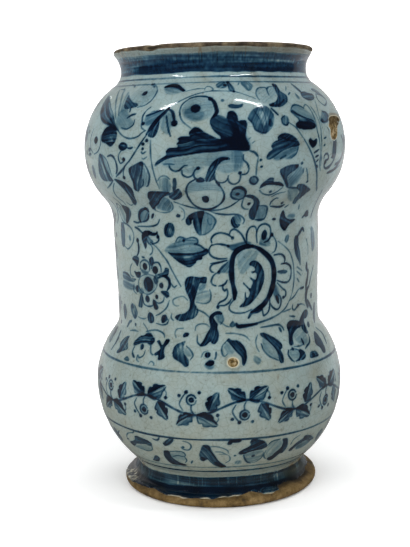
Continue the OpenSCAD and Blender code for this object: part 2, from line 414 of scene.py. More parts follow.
def slab(top: np.ndarray, under: np.ndarray, normal: np.ndarray, keep: np.ndarray, wrap: bool,
         values: dict[str, np.ndarray]) -> Faces:
    """A thin closed slab over the kept cells of a grid: its face, its underside, and a rim round both.

    Args:
        top: (rows, columns, 3) places on its face.
        under: the same on its underside.
        normal: outward normals of the face.
        keep: (rows - 1, columns) cells that it covers; without wrap the last column is never kept.
        wrap: whether the last column joins the first.
        values: named numbers for each place.

    Returns:
        The closed slab.
    """
    rows, cols = top.shape[:2]
    keep = keep.copy()
    for _ in range(4):
        # Two cells that touch only at a corner would pinch the rim, so their neighbours are kept too
        a, b = keep[:-1], keep[1:]
        an, bn = np.roll(a, -1, 1), np.roll(b, -1, 1)
        pinch = (a & bn & ~an & ~b) | (an & b & ~a & ~bn)
        if not wrap:
            pinch[:, -2:] = False
        both = pinch | np.roll(pinch, 1, 1)
        keep[:-1] |= both
        keep[1:] |= both
    i, j = np.nonzero(keep)
    jn = (j + 1) % cols
    used = np.zeros((rows, cols), bool)
    for a, b in ((i, j), (i, jn), (i + 1, jn), (i + 1, j)):
        used[a, b] = True
    n = int(used.sum())
    ids = np.full((rows, cols), -1)
    ids[used] = np.arange(n)
    spots = ((i, j, j), (i, jn, j + 1), (i + 1, jn, j + 1), (i + 1, j, j))
    face = np.stack([ids[a, b] for a, b, _ in spots], -1)
    span = max(1, j.max() + 1 - j.min()), max(1, i.max() + 1 - i.min())
    uv = np.stack([np.stack([(c - j.min()) / span[0], (a - i.min()) / span[1]], -1) for a, _, c in spots], -2)
    quads, corner_uv = [face, face[:, ::-1] + n], [uv, uv[:, ::-1]]
    tall = np.pad(keep, ((1, 1), (0, 0)))
    beside = (tall[i, j], np.where((jn > j) | wrap, keep[i, jn], False), tall[i + 2, j],
              np.where((j > 0) | wrap, keep[i, (j - 1) % cols], False))
    for k, covered in enumerate(beside):
        # The rim runs along each edge of a kept cell that has no kept cell beside it
        a, b = face[~covered, k], face[~covered, (k + 1) % 4]
        quads.append(np.stack([b, a, a + n, b + n], -1))
        ua, ub = uv[~covered, k], uv[~covered, (k + 1) % 4]
        corner_uv.append(np.stack([ub, ua, ua, ub], -2))
    out = np.concatenate([normal[used], -normal[used]])
    # The UVs keep a little clear of their square's edge
    inset_uv = 0.004 + 0.992 * np.concatenate(corner_uv)
    return Faces(np.concatenate([top[used], under[used]]), np.concatenate(quads), inset_uv, normals=out,
                 values={k: np.tile(v[used], 2) for k, v in values.items()})


# Brushwork


@dataclass(frozen=True)
class Wash:
    """A patch of cobalt laid inside a closed outline of (theta, s) pairs; a negative tone wipes some away."""

    tone: float
    path: tuple[float, ...]


@dataclass(frozen=True)
class Stroke:
    """One pass of the brush along (theta, s) pairs, with a width in mm."""

    width: float
    tone: float
    path: tuple[float, ...]


Mark = Wash | Stroke


def wash(tone: float, *path: float) -> Wash:
    """A patch of cobalt of one tone."""
    return Wash(tone, path)


def line(width: float, tone: float, *path: float) -> Stroke:
    """A brushed line."""
    return Stroke(width, tone, path)


def dot(theta: float, s: float, radius: float, tone: float = 1.0) -> Wash:
    """A round dab: eight places on a circle, slightly taller than wide.

    Args:
        theta: its middle, in degrees round the jar.
        s: its middle along the outside.
        radius: its radius in mm.
        tone: its cobalt.

    Returns:
        The dab as a small wash.
    """
    a = np.arange(8) * math.pi / 4
    turn = DEGREES_PER_MM * radius
    return Wash(tone, tuple(np.stack([theta + turn * np.cos(a), s + 1.06 * radius * np.sin(a)], -1).ravel()))


# The painting on the side that faces the camera, each mark in the order in which it is laid

# Leaves and berries from under the neck to the widest part of the shoulder
SHOULDER_MARKS: tuple[Mark, ...] = (
    wash(.06, -43, 256, -40, 262, -35, 263.5, -30, 260, -29, 255, -32, 249, -37, 247, -41, 250),
    line(.8, .5, -33.5, 264, -30.5, 261, -28.6, 257, -29.4, 251.5, -32, 248, -36, 246.6),
    line(1.7, .7, -34.5, 263.3, -33, 262.6, -31.6, 260.6), dot(-35.3, 256, 1.5),
    wash(.72, -45.5, 255.2, -43, 252.6, -40, 250, -37, 249, -36.5, 247.2, -40, 246.2, -43, 246, -44.6, 248,
         -45.3, 252), line(1, .6, -39.8, 246.5, -39.5, 244),
    wash(.12, -48, 257, -46, 256, -45.4, 250, -43.6, 245, -46, 246),
    wash(.42, -66, 256, -58, 251, -54, 247, -50, 243, -46, 236, -45, 233.4, -50, 236.4, -57, 239, -61, 242, -65, 248),
    wash(.3, -62, 253, -56, 247, -50, 240, -47, 236, -52, 240, -58, 246),
    wash(-.25, -60, 249, -55, 245, -51, 241, -50, 242, -54, 247, -58, 251),
    line(1.6, .5, -60, 241.5, -55, 238.4, -48, 236, -43.6, 233.4), line(1.2, .25, -58, 260, -52, 250, -47, 240),
    line(1.4, .2, -54, 261, -49, 252, -46, 242), line(.9, .35, -57, 260.4, -53, 260, -51, 257.6),
    line(1.2, .4, -50, 264, -47, 263, -45.5, 261.4),
    wash(.85, -55.2, 231, -52, 235.4, -47, 235.2, -44.4, 231.6, -45.2, 227.4, -48, 224.8, -51, 226.4, -54.4, 227.6),
    wash(-.3, -49.5, 229, -47.5, 230.5, -46.6, 228, -48, 226.6),
    wash(.16, -46, 244, -42, 246, -40, 243, -38, 240, -36, 238, -38, 234.6, -42, 234, -46, 236),
    line(1.3, .75, -40, 240.4, -38, 242, -35.8, 242.6),
    line(.8, .55, -35.6, 239.4, -36, 236.4, -39, 234.2, -42.5, 235),
    line(.8, .6, -44.6, 234, -41, 230.6, -37, 229, -33, 230, -31, 232, -29.4, 233.2),
    line(.9, .6, -29.6, 233.2, -31.5, 235, -31.6, 238, -31.8, 241, -30.6, 244.4, -28.8, 246.6), dot(-31, 237, .9, .9),
    line(1.3, .75, -30, 241.4, -27.5, 242.4, -25, 243.6, -22.5, 244.6),
    wash(.22, -30, 241, -26, 243.6, -22, 244.4, -22.6, 241, -24.6, 239, -28, 236, -30, 237),
    line(2.1, .86, -28.8, 231, -28, 232.4, -25.6, 237, -24, 239.6, -21.6, 243, -19.8, 245.6),
    wash(.9, -28, 230.4, -26.6, 233.4, -24.6, 239.4, -23.4, 238.6, -23.8, 233, -25.4, 229.6),
    line(1.6, .85, -20.4, 245.4, -18.2, 243.2, -17.2, 239.6, -16.9, 237), dot(-16.9, 236.8, 1.5, .95),
    line(1.2, .6, -20.6, 241, -19.7, 236, -19, 232.6, -18.2, 230),
    wash(.14, -21, 243, -18, 241, -18.4, 234, -20, 231, -23, 236),
    wash(.18, -25, 260, -20, 260.4, -16, 257.4, -18, 254.6, -22, 254.6, -24.4, 257),
    line(2.7, .95, -25, 260.4, -22, 261.4, -18.6, 260.4, -15, 257), line(.6, .42, -14, 256.4, -9, 258, -5, 258.2),
    line(.6, .42, -5, 257, -4.4, 259.2, -3, 259.8, -1.5, 258.7, -1, 257, -2.5, 256),
    line(.7, .5, -28, 243.6, -24, 244.6, -19, 247.2, -14, 251, -9, 254, -3, 256, 3, 256.1, 9, 255.4, 13, 253.5,
         18, 250.4), wash(.45, .5, 261, 2, 263, 4, 263.9, 5.4, 262.4, 5.5, 259, 3, 258.1, 1, 259),
    dot(4.8, 260.6, .9, .5),
    wash(.5, 6, 263.8, 7.4, 262.4, 8.8, 259, 9, 256.4, 8, 255.6, 6.5, 256.4, 6.2, 259, 5.8, 262),
    dot(6.5, 263.1, 1, .5), dot(8.6, 255.6, .7, .8),
    wash(.38, 13.4, 262.8, 17, 263.3, 18.8, 260.4, 17, 256.6, 15.3, 256.1, 14.2, 258.6, 13.2, 261),
    wash(-.2, 15.5, 261, 16.6, 260, 16.2, 257.6, 15.4, 258.6), line(.6, .4, 11.4, 260.6, 12.4, 263),
    wash(.55, 5.3, 246.5, 7, 247.2, 9.5, 246.6, 11.6, 247.4, 11, 245.4, 8.5, 244.5, 6, 245), dot(3, 249.6, .8, .4),
    wash(.1, -14, 244, -12.6, 249, -8, 251.6, -3, 250, -1, 245, -3, 239.6, -8, 237.4, -12.4, 239.4),
    wash(.16, -13, 243, -11, 239.4, -8.4, 238, -5.4, 239.4, -5, 242.6, -8, 244, -10, 246), dot(-8.4, 245, 2.3),
    line(.8, .55, -10, 234, -13.6, 238, -15, 243, -14.2, 247.8, -11, 251.6),
    line(1.2, .7, -11.4, 251.4, -8, 252.6, -4.6, 252.4, -2.4, 251.4),
    line(1.9, .95, -2.6, 251.6, -.8, 249, .1, 245.6, .4, 242.6, -1, 240), dot(-2.2, 250.8, 1.1, .8),
    wash(.82, -2.3, 238, -1, 240.6, 1, 241, 3, 240, 4.3, 239, 5, 242.2, 6.6, 243.2, 8, 242, 8.8, 239.4, 9, 237.4,
         10.5, 237.8, 12, 237.4, 12.3, 235, 11.6, 231, 11.4, 228, 12.4, 225, 8, 224, 2, 226.6, 1.6, 229.4, -.6, 232,
         -2, 235),
    wash(.4, 4.5, 238.6, 5, 242, 6.6, 243, 8, 241.8, 8.9, 237, 12.2, 237, 11.6, 230, 12, 224, 8, 224, 6.6, 230,
         6.4, 234), wash(-.16, 1.4, 236, 4.6, 234.6, 6, 230.4, 3.6, 228.6, 1.4, 232),
    wash(.5, 13, 238.8, 15, 243, 18, 245, 22, 245.5, 24.4, 241, 24.2, 237, 22.5, 233, 20, 230.6, 18, 230.9,
         15.5, 232.5, 14.6, 236), line(1.1, .45, 13, 238.8, 14.6, 236, 15.6, 232.6, 18, 230.8, 20, 230.6),
    wash(-.22, 18, 242.6, 20.6, 242, 21.6, 237.4, 19.4, 234.6, 17.6, 238),
    wash(.5, 21.4, 235, 22.4, 238.4, 23.4, 236, 22.6, 234), line(.8, .4, 16, 243, 18, 238, 19, 232),
    line(.8, .4, 19.6, 244.6, 20.6, 239.6, 20.4, 233.6),
    wash(.06, 19, 252, 20, 257, 24, 258.4, 27, 259, 29.5, 258, 29.4, 254, 26.5, 250, 23, 247.6, 20.4, 248),
    line(.8, .45, 19.5, 249.6, 18.8, 253, 19.6, 256, 21.6, 258.2, 24.8, 258.4, 25.2, 257),
    line(.8, .5, 25, 252.6, 25.3, 256.6, 27, 258.8, 29.4, 259.2),
    wash(.66, 30.4, 261.6, 32.5, 260.6, 32.3, 256, 34.5, 252.6, 33.8, 249, 31.5, 246.6, 28.5, 245.1, 24.4, 245.4,
         23.6, 246.8, 27, 248.2, 29.3, 251.5, 29.7, 255.5, 29.8, 259), dot(31.2, 260, 1.2, .4),
    line(1.4, .4, 24, 246, 28.6, 246.6, 32, 249.6), line(1.1, .75, 24, 244.4, 26.6, 240.4),
    line(.9, .6, 36, 253, 38, 254.8), line(.7, .3, 36, 256, 38, 259.4),
    wash(.3, 40.4, 252, 41, 254, 42, 251, 41, 250),
    wash(.58, 44.3, 252.4, 45, 254.4, 48, 255.4, 51, 254.4, 54.5, 253.4, 53, 250.6, 50, 249.4, 47, 249.8, 45, 250.8),
    line(2.1, .45, 43.6, 261.4, 44.8, 257.6, 45.8, 254.6), line(1.2, .5, 44.4, 251.6, 47, 249.8, 50, 249.6),
    line(.9, .55, 33.5, 243, 35.5, 245.7, 38, 246.2, 40.5, 245, 41.6, 243.8),
    wash(.14, 34, 243.4, 36, 245.6, 39, 245.6, 43, 242.6, 46, 238, 44, 236, 40, 238, 36, 241),
    wash(.72, 33.3, 241.8, 34.5, 243, 37, 240.8, 41, 238.5, 44.5, 237.4, 46, 235.4, 45, 232.8, 41, 232, 37, 232.4,
         34.6, 233.5, 34.8, 235.5, 36.4, 236.8, 36, 238.4),
    wash(.45, 34.6, 234.5, 36, 236.2, 40, 236.4, 43.5, 236, 46, 234.4, 44.5, 232.6, 40, 232.1, 36, 232.7),
    wash(-.3, 37.6, 239, 40.6, 237.6, 39.6, 236.6, 37, 237.4),
    line(.9, .38, 41.5, 244.5, 43.5, 246.4, 45, 245, 46, 241, 46.5, 236, 46.2, 232, 47, 226, 47.6, 219, 48, 213,
         49.6, 209), line(.9, .38, 46.8, 245, 48, 241, 49, 235, 48.6, 228, 48.4, 219, 49, 212),
    line(.7, .3, 53, 250, 51, 244, 50, 238, 50.4, 232),
    wash(.3, 50.5, 237, 52, 240, 54.5, 242.3, 57.5, 241.5, 58, 239, 55.5, 236.6, 52, 235.8),
    line(1.2, .6, 54, 242.2, 57.4, 241.4, 58, 239, 55.5, 236.5, 52, 235.8, 50.5, 236.8), dot(51.6, 236.8, 1.2, .6),
    wash(.3, 27.8, 238, 29, 239.8, 30.8, 239.4, 31.2, 236.8, 30, 234.6, 28.2, 235),
    line(.9, .7, 29.6, 239.8, 28, 238.4, 28, 235.6, 29.8, 234.6, 31, 236),
    line(.7, .5, 31, 236, 34, 233.4, 36, 230, 38, 226.5),
    line(1.1, .55, 38, 226.5, 42, 219, 46, 211, 50, 202, 54, 196),
    line(.9, .6, 57.8, 253.9, 63.8, 252.6, 65.2, 249.1, 60.2, 246.1, 57.5, 247.1, 55.8, 250.1, 57.8, 253.9),
    wash(.4, 57, 257, 61, 258, 65, 254, 66, 250, 62, 253), line(.7, .55, -62, 220.4, -58, 222, -55.6, 226, -56, 231),
    dot(-60, 228.3, 1.8), line(.7, .4, -64, 235, -66, 230, -65.6, 224, -63, 221),
    wash(.6, -63.5, 246, -62, 247.5, -60, 245, -61.5, 243.5), line(2, .6, -69, 222.6, -66, 223),
    line(2, .6, -69, 220, -65.6, 220.4), wash(.55, -67, 213, -65, 213.6, -64.4, 209, -67, 206, -68, 209),
    wash(.95, -43, 224.5, -42, 226.4, -40.5, 227, -38.5, 226, -38, 224.5, -39.5, 223, -41.5, 222.8),
    wash(-.4, -41, 225.4, -39.8, 226, -39.6, 224.6), line(1.1, .75, -37.9, 224, -36.6, 223.8, -35.4, 224.2),
    line(.9, .7, -41.5, 222.5, -43, 220.5, -43.3, 218, -42.5, 215.8, -41, 216.4, -40.3, 217.6), dot(-40.4, 217.8, .9),
    line(1.1, .6, -47, 208, -43, 211.2, -40, 214.4),
    line(1, .62, -40.4, 214, -37, 217.6, -34, 222, -31, 227, -28.6, 231), dot(-30.2, 226, .7), dot(-30.4, 223.5, .6),
    line(.8, .7, -31.2, 222, -30.4, 221, -29, 222), line(.7, .45, -31, 218.5, -30, 218.2, -28.5, 219.3),
    dot(-28.5, 227.8, .8, .8),
    wash(.55, -57, 220.2, -55, 220.4, -54, 218.5, -53, 213, -50.5, 207, -50, 205.6, -54, 205.1, -58.5, 205.6,
         -60, 209, -59, 214), wash(-.15, -57, 216, -55, 215, -54, 210, -56, 210),
    line(.8, .45, -54.4, 220.2, -51.5, 217.6, -50.4, 214, -49.6, 208),
    wash(.12, -54, 219, -51.6, 217, -50.4, 210, -52.4, 210),
    line(1.3, .75, -50.5, 219.4, -48, 220, -46, 218.5, -45, 215, -45.4, 211.6, -46.6, 209.6),
    line(.7, .5, -40, 214.5, -41.6, 211, -42.3, 208), dot(-42, 207.6, .8, .9),
    wash(.6, -31, 216.4, -32, 216.5, -35, 215, -38, 213, -38.5, 210, -37.7, 205, -38.3, 200.6, -36.5, 199.4, -35, 201,
         -33, 205, -31.5, 211, -30.7, 214.5), dot(-31.4, 215.6, 1.2, .5),
    line(1.2, .4, -38, 212.6, -37.4, 206, -37.6, 200.6), wash(-.2, -36.2, 204, -34.6, 208, -33.2, 212, -34, 207),
    line(1, .65, -30, 215.4, -28.8, 212, -28.5, 208, -30, 203.6, -31, 202.6),
    line(1.1, .7, -31.8, 207, -32.5, 204, -34.4, 201.6), wash(.12, -31, 213, -29.2, 210, -29.4, 205, -33, 203),
    line(.8, .5, -26.8, 228, -26.7, 218, -26, 209, -25, 201),
    wash(.2, -24.5, 206, -21, 208, -19.5, 204, -21, 199, -24, 199),
    line(.8, .45, -25, 206, -23.4, 208.4, -21, 208.8, -19.4, 207),
    wash(.88, -25.2, 214.2, -24.4, 216.6, -22.6, 218, -20, 220.2, -20, 222, -19, 223.5, -17, 223.8, -15.2, 224.2,
         -15.5, 226, -14.6, 227.2, -15, 228.6, -14, 229.5, -12, 229.8, -10.4, 229.6, -10.5, 231.6, -9, 234.2, -7, 234,
         -5, 232, -2, 229.8, 1.8, 227.7, 6, 229, 11, 228, 13, 222.6, 11, 221.5, 6, 222.2, 0, 221.5, -6, 221, -12, 220,
         -17, 219, -21, 217.4), wash(.3, 4, 228, 11, 229, 13, 222.6, 6, 222.2, 1, 223),
    wash(-.24, -16, 225, -11, 226.4, -5, 225.6, 0, 223.6, -6, 223.4, -12, 223.4),
    wash(-.2, -9, 229.6, -5, 229, -1, 227, -5, 227), wash(-.16, -14, 221.6, -8, 222.2, -2, 222.4, -8, 221.4),
    line(1.2, .4, -10.4, 232, -7, 230.4, -3, 227.6, 2, 225.6), line(1.1, .35, -15, 228.6, -11, 228, -6, 226.8),
    line(.6, .4, 12.4, 227.4, 13.6, 228.5), line(.6, .4, 14, 225.4, 15, 226.4),
    wash(.1, -22, 216.4, -12, 219.6, 0, 221, 9, 221.6, 10, 214, 4, 210, -4, 214, -8, 210, -14, 211, -19, 213),
    line(.8, .55, -21.5, 215.3, -19, 215.4, -17, 215.1),
    line(.9, .75, -19, 215, -18.7, 213, -17, 211.5, -15, 212, -13, 214.3, -11.6, 214.6),
    line(.9, .75, -14, 212, -13.8, 209.5, -12, 208.2, -10, 209, -8.6, 212, -7.2, 213.4), dot(-7.4, 213, .8, .9),
    line(.9, .75, -9.2, 210, -9, 208, -7.8, 206.8),
    wash(.9, 5, 217.3, 4.5, 218.3, 1.5, 218.5, -1, 216.6, -2.8, 213.6, -4, 210, -4.7, 206, -3, 205.4, -1, 206.6,
         0, 203.6, 1.3, 202.4, 1, 204.6, -.5, 206.6, -.8, 210, 0, 213.5, 1.5, 216, 3.5, 217.2),
    wash(-.35, -2.4, 213.6, -1.2, 214.4, -1.2, 212.4, -2.4, 211.6),
    line(.8, .7, 0, 205, 2.5, 204.7, 4, 206, 4.7, 208.7),
    line(.9, .75, 4.6, 207, 5, 205, 7, 203.5, 9, 205, 9.5, 208, 9.2, 210.2), dot(9.2, 210, .8, .9),
    line(.9, .75, 10, 209, 12, 209.5, 12.8, 212, 12, 215, 10.5, 217, 10.4, 219.6),
    wash(.14, 6, 221, 10, 221, 10, 213, 7, 211), line(1.5, .8, 13, 221.6, 15, 220.6, 16.3, 218.6),
    line(1, .45, 16.4, 218, 16, 213, 16, 208.4),
    wash(.25, 13.5, 206, 15, 208, 16.5, 207, 17, 204.8, 15.8, 203, 14.2, 204),
    line(1.1, .7, 14, 207.4, 13.5, 205.4, 14.6, 203.6, 16.2, 203.4, 17, 205.4, 16, 207.4, 14.6, 207.6),
    dot(18, 213, .6, .7), dot(17.5, 216.6, .6, .6),
    wash(.82, 20.3, 216.8, 20, 218.5, 21, 220.5, 22.5, 222, 22, 224, 23.5, 226, 25, 226.8, 25, 228.3, 26.5, 229.8,
         28.5, 230.3, 31, 229.5, 33.5, 227.5, 35, 225, 34.8, 223.5, 31, 222.8, 27, 221, 24, 218.5, 22, 217),
    wash(-.2, 24, 223, 28, 225.6, 32, 226, 28, 223.6), line(1, .35, 26, 229, 29, 227, 34, 225.4),
    wash(.26, 23, 217.4, 27, 220.4, 31, 222.4, 34.5, 223, 33.5, 219.5, 31, 216.8, 27, 217, 25, 216),
    line(.7, .4, 34.6, 223, 33.6, 219.4, 31, 216.8), line(1.2, .4, 26, 217, 28.6, 218.6),
    wash(1, 40.5, 226.4, 41.5, 227.2, 43, 225.8, 45, 226.8, 45.3, 225, 44, 223, 42.3, 222.3, 40.8, 224.4),
    line(1, .8, 43.5, 219.3, 46.6, 221), line(1, .8, 44.5, 217, 46.4, 217.8), line(1, .8, 45.3, 214.3, 46.6, 215.4),
    line(1.1, .8, 46, 212.3, 47, 211), line(1, .7, 50.4, 226.8, 52, 227.4), line(1, .7, 50, 223, 51, 223.4),
    line(1.1, .8, 50.5, 216, 51, 218, 53, 218.3, 54.2, 216.5, 53.5, 215, 52, 214.8, 51.5, 213, 52, 211, 54, 210,
         56.5, 210.4, 58, 212), dot(52, 213.6, 1, .5), line(1.5, .75, 56.5, 216, 58.6, 217),
    wash(.6, 57, 218, 58.5, 227, 61, 226, 60.5, 219, 58.5, 215.4), line(2, .6, 62, 212, 66, 213, 70, 217, 72.4, 218),
    wash(.6, 72, 228, 75, 228, 76, 224, 72, 221), line(1.2, .5, 57, 208, 64, 209.4, 70, 211),
    line(1.6, .8, 68.5, 228, 72, 223, 71.8, 218.4, 67.8, 213, 61.5, 208.6, 56, 207.4),
    line(1.4, .75, 60.8, 221, 60.2, 216.6, 57.5, 212.2, 53, 210.2),
    wash(.55, 26.5, 210.4, 27, 211.4, 30, 213, 33.5, 213.5, 35.3, 213, 34, 210.5, 31.5, 208.5, 30.5, 206, 32.5, 201,
         31.5, 200.4, 29, 205, 27, 208.4), dot(34.6, 212.4, 1, .5), line(1.3, .4, 27, 209, 29.6, 205, 32, 200.8),
    wash(.22, 31, 208.4, 34.5, 211, 37, 212, 38.5, 208.5, 37, 203.6, 34, 200.6, 32.5, 201.6, 31, 206),
    dot(37, 214, .7, .6), line(.8, .55, 38.4, 211, 38.6, 208.4), line(.8, .5, 40, 211, 41.6, 207, 43, 203),
    dot(42.8, 203, .7, .7),
)

